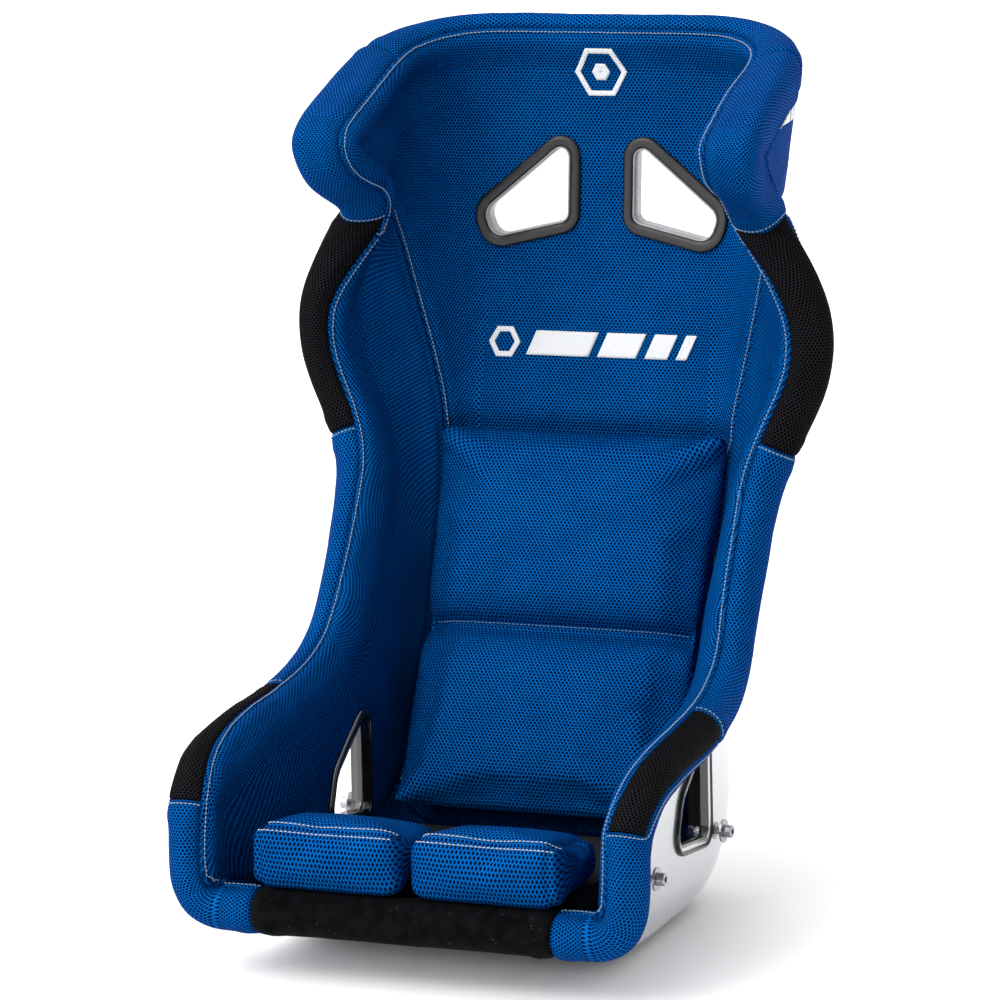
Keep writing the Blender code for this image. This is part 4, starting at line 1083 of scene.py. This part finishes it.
def stitch(points, normals, lengths, start):
    """One stitch along a line, arched over the cloth, as vertices and faces."""
    sides, cuts = 6, 5
    rings = []
    for cut in range(cuts):
        share = cut / (cuts - 1)
        place = start + STITCH_LENGTH * share
        here, ahead, back = (Vector(at_length(points, lengths, place + n)) for n in (0.0, 0.0004, -0.0004))
        last = len(points) - 1
        normal = normals[min(last, max(0, round(place / lengths[-1] * last)))]
        across = (ahead - back).normalized().cross(normal).normalized()
        centre = here + normal * (THREAD * (1.3 * math.sin(math.pi * share) + 0.1))
        radius = THREAD * (0.72 + 0.28 * math.sin(math.pi * share))
        turns = [2 * math.pi * k / sides for k in range(sides)]
        rings.append([
            centre + across * (radius * math.cos(turn)) + normal * (radius * math.sin(turn)) for turn in turns
        ])
    verts, faces = lofted(rings, closed=False)
    ends = [tuple(reversed(range(sides))), tuple(range(len(verts) - sides, len(verts)))]
    return verts, faces + ends


def stitch_mesh(name, rows):
    """Short raised stitches along rows of (point, normal)."""
    parts = []
    for row in rows:
        points, normals = zip(*row)
        lengths = cumulative(points)
        count = int(lengths[-1] / STITCH_PITCH)
        for n in range(count):
            start = (n + 0.5) * lengths[-1] / count - STITCH_LENGTH / 2
            parts.append(stitch(points, normals, lengths, start))
    return mesh_from(name, *joined(parts))


def smoothed(points, rounds):
    """A line with its corners rounded off and its ends kept."""
    for _ in range(rounds):
        points = [points[0]] + [
            (a + 2 * b + c) / 4 for a, b, c in zip(points, points[1:], points[2:])
        ] + [points[-1]]
    return points


def seam_rows(mesh, seams, trees, pair, target, offset, rounds=SEAM_SMOOTHING):
    """Stitch rows beside the seam between two panels, on the target panel."""
    first, second = (PANELS.index(name) for name in pair)
    edges = seams.get(tuple(sorted((first, second))), [])
    rows = []
    tree = trees[target]
    for run in chained(edges):
        points = [mesh.vertices[v].co.copy() for v in run]
        if cumulative(points)[-1] < 0.012:
            continue
        points = smoothed(resampled(points, 0.003), rounds)
        ways = []
        for n, point in enumerate(points):
            along = points[min(n + 1, len(points) - 1)] - points[max(n - 1, 0)]
            place, normal, _, _ = tree.find_nearest(point)
            way = along.cross(normal)
            probe = way.normalized() * 0.006
            if tree.find_nearest(point + probe)[3] > tree.find_nearest(point - probe)[3]:
                way.negate()
            ways.append(way.normalized())
        if any(a.dot(b) < 0 for a, b in zip(ways, ways[1:])):
            lead = ways[len(ways) // 2]
            ways = [w if w.dot(lead) > -0.2 else -w for w in ways]
        rows.append([tree.find_nearest(point + way * offset)[:2] for point, way in zip(points, ways)])
    return rows


def build_stitching(mesh, seams, trees):
    """Rows beside the rim seams, the patches' seams, the centre panel's sides and the head's top seam."""
    for _, word in SIDES:
        rows = []
        for strip in STRIPS:
            for inner in (f"side_panel_{word}", "back_panel"):
                pair = (f"{strip}_{word}", inner)
                rows += seam_rows(mesh, seams, trees, pair, inner, STITCH_AT, RIM_SMOOTHING)
        add_piece(f"rim_stitching_{word}", stitch_mesh("rim", rows), "pale_thread", "seat")
        rows = []
        for strip, patch in (("thigh_strip", "thigh_patch_cover"), ("waist_strip", "thigh_patch_cover"),
                             ("waist_strip", "shoulder_patch_cover"), ("wing_strip", "shoulder_patch_cover")):
            pair = (f"{strip}_{word}", f"{patch}_{word}")
            rows += seam_rows(mesh, seams, trees, pair, f"{strip}_{word}", CROSS_STITCH_AT)
        add_piece(f"patch_stitching_{word}", stitch_mesh("cross", rows), "pale_thread", "seat")
        pair = (f"side_panel_{word}", "back_panel")
        rows = seam_rows(mesh, seams, trees, pair, "back_panel", BACK_STITCH_AT)
        add_piece(f"back_stitching_{word}", stitch_mesh("side", rows), "pale_thread", "seat")
    rows = seam_rows(mesh, seams, trees, ("head_top_strip", "back_panel"), "back_panel", STITCH_AT)
    add_piece("head_stitching", stitch_mesh("head", rows), "pale_thread", "seat")


# ---------------------------------------------------------------- loose cushions

CUSHION_MOVE = 0.008            # the most that the cloth simulation may move a cushion's skin
BACK_CROWN, CROWN_RISE = 0.0125, 0.024      # how far each half of the back cushion stands proud, and how soon
BACK_HALF, BACK_SPREAD = 0.148, 0.0065      # its half width, and how far its front edges spread past that
BACK_GROOVE, BACK_GROOVE_WIDTH = 0.0095, 0.0090
THIGH_SEAM = math.radians(30.0)             # the thigh cushions' front seam, as an angle above straight ahead
THIGH_GROOVE, THIGH_GROOVE_WIDTH = 0.0024, 0.0032
GUSSET_DEPTH, GUSSET_AT, GUSSET_WIDTH = 0.0022, 0.014, 0.0035
TWIN_ROW = 0.0042               # how far each of two stitch rows lies from the seam between them


def applied(target):
    """Replaces an object's mesh with what its modifiers make of it."""
    made = bpy.data.meshes.new_from_object(target.evaluated_get(bpy.context.evaluated_depsgraph_get()))
    target.modifiers.clear()
    target.data = made


def swollen(node, inset, voxel, rests, rounds):
    """A cushion's mesh, blown up by a cloth simulation from the CAD node's shape, and smoothed.

    The side that it rests on, facing along rests, is pinned.
    """
    source = frame["nodes"][node]
    mesh = source.data.copy()
    mesh.transform(source.matrix_world)
    blank = bpy.data.objects.new("blank", mesh)
    bpy.context.scene.collection.objects.link(blank)
    remesh = blank.modifiers.new("Remesh", "REMESH")
    remesh.mode = "VOXEL"
    remesh.voxel_size = voxel
    remesh.use_smooth_shade = True
    applied(blank)
    normals = normals_of(blank.data)
    for vertex, normal in zip(blank.data.vertices, normals):
        vertex.co -= normal * inset
    start = [v.co.copy() for v in blank.data.vertices]
    held = blank.vertex_groups.new(name="held")
    held.add([n for n, normal in enumerate(normals) if normal.dot(rests) > 0.6], 1.0, "REPLACE")
    cloth = blank.modifiers.new("Cloth", "CLOTH")
    cloth.settings.quality = 6
    cloth.settings.use_pressure = True
    cloth.settings.uniform_pressure_force = 4.0
    cloth.settings.effector_weights.gravity = 0.0
    cloth.settings.vertex_group_mass = "held"
    cloth.point_cache.frame_end = 20
    for step in range(1, 21):
        bpy.context.scene.frame_set(step)
    applied(blank)
    bpy.context.scene.frame_set(1)
    for vertex, place in zip(blank.data.vertices, start):
        move = vertex.co - place
        vertex.co = place + move * min(1.0, CUSHION_MOVE / max(move.length, 1e-9))
    ironed(blank.data, rounds)
    finer = blank.modifiers.new("Subdivision", "SUBSURF")
    finer.levels = 1
    applied(blank)
    mesh = blank.data
    bpy.data.objects.remove(blank)
    return mesh


def ironed(mesh, rounds):
    """Smooths out fine wrinkles, without shrinking the shape much."""
    bm = bmesh.new()
    bm.from_mesh(mesh)
    for _ in range(rounds):
        for factor in (0.5, -0.48):
            places = []
            for vertex in bm.verts:
                others = [edge.other_vert(vertex).co for edge in vertex.link_edges]
                places.append(vertex.co.lerp(sum(others, Vector()) / len(others), factor))
            for vertex, place in zip(bm.verts, places):
                vertex.co = place
    bm.to_mesh(mesh)
    bm.free()


def give_weave(mesh, cloth_at):
    """Cloth coordinates for a mesh from a function of a point and its normal."""
    normals = normals_of(mesh)
    layer = mesh.attributes.new("weave", "FLOAT_VECTOR", "POINT")
    for n, (vertex, normal) in enumerate(zip(mesh.vertices, normals)):
        u, v = cloth_at(vertex.co, normal)
        layer.data[n].vector = (u, v, 0.0)


def sink(mesh, depth_at):
    """Moves each vertex inwards along its normal."""
    normals = normals_of(mesh)
    for vertex, normal in zip(mesh.vertices, normals):
        vertex.co -= normal * depth_at(vertex.co, normal)
    mesh.update()


def hits(tree, starts, way):
    """Where rays along way meet a surface, as (point, normal) pairs."""
    found = [tree.ray_cast(start, way) for start in starts]
    return [hit[:2] for hit in found if hit[0]]


def build_back_cushion():
    """The lower back cushion: two crowned halves with a stitched groove between them."""
    up = BACK_HIGH - BACK_LOW
    length = up.length
    up.normalize()
    forward = Vector((0.0, -up.z, up.y))
    mesh = swollen("back_cushion", 0.0010, 0.006, -forward, 10)

    def depth(place, normal):
        from_seam = (place - BACK_LOW).dot(up) - BACK_SEAM * length
        facing = max(0.0, normal.dot(forward))
        across = max(0.0, 1.0 - (abs(place.x) / 0.162) ** 20)
        crown = BACK_CROWN * (1.0 - bell(from_seam, 0.0, CROWN_RISE)) * across * facing
        cross = BACK_GROOVE * bell(from_seam, 0.0, BACK_GROOVE_WIDTH) * facing
        return cross - crown + 0.0009 * noise.noise(place * 14.0) + 0.0003 * noise.noise(place * 50.0)

    def cloth_at(place, normal):
        v = (place - BACK_LOW).dot(up)
        behind = max(0.0, (BACK_LOW - place).dot(forward))
        u = place.x + math.copysign(behind, place.x) * smooth_step(abs(place.x), 0.138, 0.149)
        return u, v + behind * (smooth_step(v, length - 0.012, length) - smooth_step(-v, -0.012, 0.0))

    for vertex in mesh.vertices:
        front = 1.0 - smooth_step((BACK_LOW - vertex.co).dot(forward), 0.004, 0.026)
        spread = BACK_SPREAD * front * smooth_step(abs(vertex.co.x), 0.100, BACK_HALF)
        vertex.co.x += math.copysign(spread, vertex.co.x)
    give_weave(mesh, cloth_at)
    sink(mesh, depth)
    made = add_piece("back_pad_cover", mesh, "blue_mesh", "back_cushion", nodes=["back_cushion"])
    tree = tree_of(mesh)
    over = BACK_LOW + up * (BACK_SEAM * length + BACK_STITCH_AT) + forward * 0.06
    row = hits(tree, [over + Vector((-0.140 + 0.280 * n / 100, 0.0, 0.0)) for n in range(101)], -forward)
    add_piece("back_pad_stitching", stitch_mesh("row", [row]), "dim_thread", "back_cushion")


def build_thigh_cushion(side, word):
    """A thigh cushion, with twin stitch rows along its front edge and a gusset seam at its outer end."""
    node = f"thigh_cushion_{word}"
    mesh = swollen(node, 0.0015, 0.005, Vector((0.0, 0.0, -1.0)), 8)
    low = Vector(tuple(min(v.co[n] for v in mesh.vertices) for n in range(3)))
    high = Vector(tuple(max(v.co[n] for v in mesh.vertices) for n in range(3)))
    axis = Vector((0.0, (low.y + high.y) / 2 + 0.004, (low.z + high.z) / 2 - 0.002))
    outer = high.x if side > 0 else low.x

    def edge_angle(place):
        return math.atan2(place.z - axis.z, axis.y - place.y)

    def depth(place, normal):
        reach = math.hypot(place.z - axis.z, place.y - axis.y)
        from_seam = (edge_angle(place) - THIGH_SEAM) * reach
        seam = THIGH_GROOVE * bell(from_seam, 0.0, THIGH_GROOVE_WIDTH)
        from_end = abs(outer - place.x)
        gusset = GUSSET_DEPTH * bell(from_end, GUSSET_AT, GUSSET_WIDTH)
        sag = 0.006 * smooth_step(-place.y, 0.252, 0.295) * max(0.0, -normal.z)
        fold = 0.0012 * noise.noise(Vector((place.x * 40.0, place.y * 9.0, place.z * 9.0)))
        return seam + gusset - sag + fold * bell(from_end, 0.0, 0.02) + 0.0006 * noise.noise(place * 30.0)

    give_weave(mesh, lambda place, normal: (place.x, edge_angle(place) * 0.040))
    sink(mesh, depth)
    made = add_piece(f"thigh_pad_cover_{word}", mesh, "blue_mesh", node, nodes=[node])
    tree = tree_of(mesh)
    rows = []
    reach = high.x - low.x - 0.020
    for shift in (-TWIN_ROW, TWIN_ROW):
        angle = THIGH_SEAM + shift / 0.046
        way = Vector((0.0, -math.cos(angle), math.sin(angle)))
        starts = [Vector((low.x + 0.010 + reach * n / 70, axis.y, axis.z)) + way * 0.12 for n in range(71)]
        rows.append(hits(tree, starts, -way))
    add_piece(f"thigh_pad_stitching_{word}", stitch_mesh("rows", rows), "white_thread", node)


# ---------------------------------------------------------------- outside of the head wings

def build_wing_cover(side, word):
    """The cloth over the outside of a head wing."""
    first, last = row_of(15.2), LAST_ROW - 1
    start, end = SEAM_COLUMN, LAST_COLUMN - 1
    bm = bmesh.new()
    weave = bm.verts.layers.float_vector.new("weave")
    grid = []
    for i in range(first, last + 1):
        row = []
        for j in range(start, end + 1):
            inside = min(1.0, (i - first) / 2.0, (j - start) / 1.5)
            place = layer_point(i, j, SHELL + 0.0016 + 0.0050 * smooth_step(inside, 0.0, 1.0))
            made = bm.verts.new((place.x * side, place.y, place.z))
            made[weave] = (WEAVE[i][j].y, WEAVE[i][j].x, 0.0)
            row.append(made)
        grid.append(row)
    for a, b in zip(grid, grid[1:]):
        for n in range(len(a) - 1):
            corners = (a[n], a[n + 1], b[n + 1], b[n])
            bm.faces.new(corners[::-1] if side > 0 else corners)
    mesh = subdivided(bm, COVER_LEVELS)
    middle = mesh.polygons[len(mesh.polygons) // 2]
    made = add_piece(f"wing_outer_{word}", mesh, "blue_mesh", "seat", nodes=[f"head_wing_cover_{word}"])
    add_solidify(made, CLOTH / 2, -1.0 if middle.normal.x * side > 0 else 1.0)


# ---------------------------------------------------------------- embroidery

EMBROIDERY = 0.0012


def sheet(rows, tree, way):
    """Grid rows of start points dropped onto a surface, as vertices and faces."""
    verts, faces = [], []
    width = len(rows[0])
    for row in rows:
        for point in row:
            place, normal, _, _ = tree.ray_cast(point, way)
            if place is None:
                place, normal, _, _ = tree.find_nearest(point)
            verts.append(place + normal * 0.0005)
    for m in range(len(rows) - 1):
        for n in range(width - 1):
            a = m * width + n
            faces.append((a, a + 1, a + 1 + width, a + width))
    return verts, faces


def bar(start, run, rise, tree, way):
    """A slanted bar: a start corner, the vector along it and the vector up it."""
    rows = [[start + run * (n / 16) + rise * (m / 8) for n in range(17)] for m in range(9)]
    return sheet(rows, tree, way)


def hexagon(centre, across, upright, inner, outer, tree, way):
    """A hexagonal ring between two radii."""
    rows = []
    for share in (0.0, 0.33, 0.66, 1.0):
        reach = inner + (outer - inner) * share
        row = []
        for side in range(6):
            a, b = math.radians(60 * side), math.radians(60 * (side + 1))
            for n in range(6):
                f = n / 6
                u = (1 - f) * math.cos(a) + f * math.cos(b)
                v = (1 - f) * math.sin(a) + f * math.sin(b)
                row.append(centre + across * (u * reach) + upright * (v * reach))
        row.append(row[0])
        rows.append(row)
    return sheet(rows, tree, way)


def add_motif(name, parts):
    """One raised embroidery from (vertices, faces) pairs."""
    mesh = mesh_from(name, *joined(parts))
    bm = bmesh.new()
    bm.from_mesh(mesh)
    bmesh.ops.remove_doubles(bm, verts=bm.verts, dist=1e-6)
    bmesh.ops.recalc_face_normals(bm, faces=bm.faces)
    bm.to_mesh(mesh)
    bm.free()
    made = add_piece(name, mesh, "embroidery", "seat")
    add_solidify(made, EMBROIDERY, 0.0)


def build_motifs(trees):
    """Plain hexagons and bars, on the head, the backrest and the outside of each wing."""
    back = trees["back_panel"]
    x, z, way = Vector((1, 0, 0)), Vector((0, 0, 1)), Vector((0, 1, 0))
    centre = Vector((0.0, 0.0, 0.814))
    radii = ((0.0228, 0.0290), (0.0005, 0.0100))
    add_motif("head_emblem", [hexagon(centre, x, z, inner, outer, back, way) for inner, outer in radii])
    parts = [hexagon(Vector((-0.103, 0.0, 0.533)), x, z, 0.0115, 0.0178, back, way)]
    start = Vector((-0.078, 0.0, 0.5205))
    for width in (0.070, 0.043, 0.025, 0.0115):
        parts.append(bar(start, x * width, z * 0.0250 + x * 0.0105, back, way))
        start = start + x * (width + 0.0097)
    add_motif("back_emblem", parts)
    for side, word in SIDES:
        tree = tree_of(bpy.data.objects[f"wing_outer_{word}"].data)
        parts = []
        start = Vector((side * 0.4, 0.150, 0.782))
        for width in (0.030, 0.018, 0.009):
            parts.append(bar(start, way * width, z * 0.013 + way * 0.005, tree, -side * x))
            start = start + way * (width + 0.005)
        add_motif(f"wing_emblem_{word}", parts)


# ---------------------------------------------------------------- belt slots

def slot_ring(name, look, axis, corners, profile, tree, side, node):
    """Trim round a slot, from a closed profile of (distance out from the opening, height off the surface)."""
    lists = [rounded_outline(corners, grow) for grow, _ in profile]
    count = min(len(points) for points in lists)
    rings = []
    for n in range(count):
        ring = []
        for points, (_, height) in zip(lists, profile):
            point = points[round(n * len(points) / count) % len(points)]
            start = axis_place(axis, point.x, point.y, RAY_START[axis])
            hit = tree.ray_cast(start, AXES[axis])[0]
            place = hit + AXES[axis] * height
            ring.append(Vector((place.x * side, place.y, place.z)))
        rings.append(ring)
    mesh = mesh_from(name, *lofted(rings, closed=True))
    add_piece(name, mesh, look, "seat", [node])


def rounded_profile(inner, outer, low, high, steps=4):
    """A flat ring's section, from low to its rounded corners at high, as (distance, height) points."""
    radius = min(abs(high - low) * 0.8, (outer - inner) / 2.2)
    sign = 1 if high > low else -1
    points = [(inner, low)]
    for n in range(steps + 1):
        angle = math.pi / 2 * n / steps
        points.append((inner + radius * (1 - math.cos(angle)), high - sign * radius * (1 - math.sin(angle))))
    for n in range(steps, -1, -1):
        angle = math.pi / 2 * n / steps
        points.append((outer - radius * (1 - math.cos(angle)), high - sign * radius * (1 - math.sin(angle))))
    points.append((outer, low))
    return points


def build_slots(shell_tree, trees):
    """Each belt slot's bezel on the cover, its wall, and its seal outside the shell."""
    outer, inner = SHELL + 0.0012, -LINING - 0.0030
    wall = [(0.0, outer), (0.0, inner), (SLEEVE, inner), (SLEEVE, outer)]
    lap_lip = rounded_profile(0.0014, 0.0074, -0.001, SHELL + 0.0022)
    for side, word in SIDES:
        for name, axis, corners, width, seal_span, cloth, trim, wall_look in (
            ("shoulder_slot", "Y", SHOULDER_SLOT, 0.0135, (0.0012, 0.0075), "back_panel", "black_plastic",
             "grey_sleeve"),
            ("lap_slot", "X", LAP_SLOT, 0.0085, (0.0062, 0.0105), "side_panel_left", "gloss_black",
             "gloss_black"),
        ):
            bezel = rounded_profile(0.0012, width, 0.0008, -0.0042)
            seal = rounded_profile(*seal_span, SHELL - 0.001, SHELL + 0.0036)
            rings = [("bezel_ring", trim, bezel, trees[cloth], "bezel"),
                     ("seal_ring", "rubber_seal", seal, shell_tree, "seal"),
                     ("lip_ring", "silver_shell", lap_lip, shell_tree, "sleeve"),
                     ("sleeve_wall", wall_look, wall, shell_tree, "sleeve")]
            for ring, look, profile, tree, node in rings:
                if ring != "lip_ring" or name == "lap_slot":
                    slot_ring(f"{name}_{ring}_{word}", look, axis, corners, profile, tree, side,
                              f"{name}_{node}_{word}")


# ---------------------------------------------------------------- studio

CAMERA_PLACE = Vector((1.9624, -4.7182, 1.4965))
CAMERA_AZIMUTH, CAMERA_ELEVATION, CAMERA_ROLL = 22.68, 11.89, math.radians(-2.04)


def way_to(azimuth, elevation):
    """A direction in degrees: azimuth 0 is the front, and positive values are to the right of the picture."""
    az, el = math.radians(azimuth), math.radians(elevation)
    return Vector((math.sin(az) * math.cos(el), -math.cos(az) * math.cos(el), math.sin(el)))


def add_camera():
    az = math.radians(CAMERA_AZIMUTH)
    back = way_to(CAMERA_AZIMUTH, CAMERA_ELEVATION)
    right = Vector((math.cos(az), math.sin(az), 0.0))
    upright = back.cross(right)
    right_rolled = right * math.cos(CAMERA_ROLL) + upright * math.sin(CAMERA_ROLL)
    up_rolled = upright * math.cos(CAMERA_ROLL) - right * math.sin(CAMERA_ROLL)
    data = bpy.data.cameras.new("camera")
    data.lens = 187.5
    data.sensor_width = 36.0
    data.clip_end = 100.0
    camera = bpy.data.objects.new("camera", data)
    columns = Matrix((right_rolled, up_rolled, back)).transposed().to_4x4()
    camera.matrix_world = Matrix.Translation(CAMERA_PLACE) @ columns
    bpy.context.scene.collection.objects.link(camera)
    bpy.context.scene.camera = camera


def sun_light(name, azimuth, elevation, softness, strength):
    """A soft distant light."""
    data = bpy.data.lights.new(name, "SUN")
    data.energy = strength
    data.angle = math.radians(softness)
    light = bpy.data.objects.new(name, data)
    light.rotation_euler = way_to(azimuth, elevation).to_track_quat("Z", "Y").to_euler()
    bpy.context.scene.collection.objects.link(light)


# The studio's lights: the way each one lies, the cosines where it starts and is full, and its strength.
SKY_LIGHTS = (
    ((-0.54, -0.46, 0.70), 0.32, 0.95, 2.5),
    ((0.15, 0.95, 0.27), 0.05, 0.60, 1.05),
    ((0.90, -0.30, 0.30), 0.55, 1.00, 0.35),
)
SKY_BASE = 0.14


def add_sky():
    """A white studio: one broad soft light from the upper left front, and a white backdrop behind."""
    world = bpy.data.worlds.new("studio")
    world.use_nodes = True
    tree = world.node_tree
    links = tree.links
    direction = tree.nodes.new("ShaderNodeTexCoord").outputs["Generated"]
    total = None
    for way, low, high, strength in SKY_LIGHTS:
        dot = tree.nodes.new("ShaderNodeVectorMath")
        dot.operation = "DOT_PRODUCT"
        dot.inputs[1].default_value = Vector(way).normalized()
        links.new(direction, dot.inputs[0])
        lobe = tree.nodes.new("ShaderNodeMapRange")
        lobe.interpolation_type = "SMOOTHSTEP"
        lobe.inputs[1].default_value, lobe.inputs[2].default_value = low, high
        lobe.inputs[3].default_value, lobe.inputs[4].default_value = 0.0, strength
        links.new(dot.outputs["Value"], lobe.inputs[0])
        adder = tree.nodes.new("ShaderNodeMath")
        adder.operation = "ADD"
        adder.inputs[1].default_value = SKY_BASE
        links.new(lobe.outputs[0], adder.inputs[0])
        if total:
            links.new(total, adder.inputs[1])
        total = adder.outputs[0]
    background = tree.nodes["Background"]
    background.inputs["Color"].default_value = rgb(1.0, 1.0, 1.0)
    links.new(total, background.inputs["Strength"])
    bpy.context.scene.world = world


def add_studio():
    """The floor and the lights."""
    bpy.ops.mesh.primitive_plane_add(size=60.0, location=(0.0, 0.0, -0.0006))
    floor = bpy.context.object
    floor.name = "floor"
    g = Graph("pale_floor")
    tone = g.mix(g.noise(1.5, 3.0), rgb(0.90, 0.90, 0.905), rgb(0.93, 0.93, 0.935))
    floor.data.materials.append(g.set(Base_Color=tone, Roughness=0.55, Specular_IOR_Level=0.2))
    add_sky()
    sun_light("key", -38.0, 46.0, 30.0, 0.9)
    bpy.context.scene.view_settings.view_transform = "Standard"


add_camera()
add_studio()
shell_tree = build_shell()
cover, seams, trees = build_cover()
build_stitching(cover, seams, trees)
build_slots(shell_tree, trees)
build_back_cushion()
for side, word in SIDES:
    build_thigh_cushion(side, word)
    build_wing_cover(side, word)
build_motifs(trees)
slots = {row["node"]: row["material_slot"] for row in frame["record"]["subparts"]}
for name, node in frame["nodes"].items():
    if not node.hide_render and name in slots:
        node.data.materials.clear()
        node.data.materials.append(LOOKS[slots[name]])
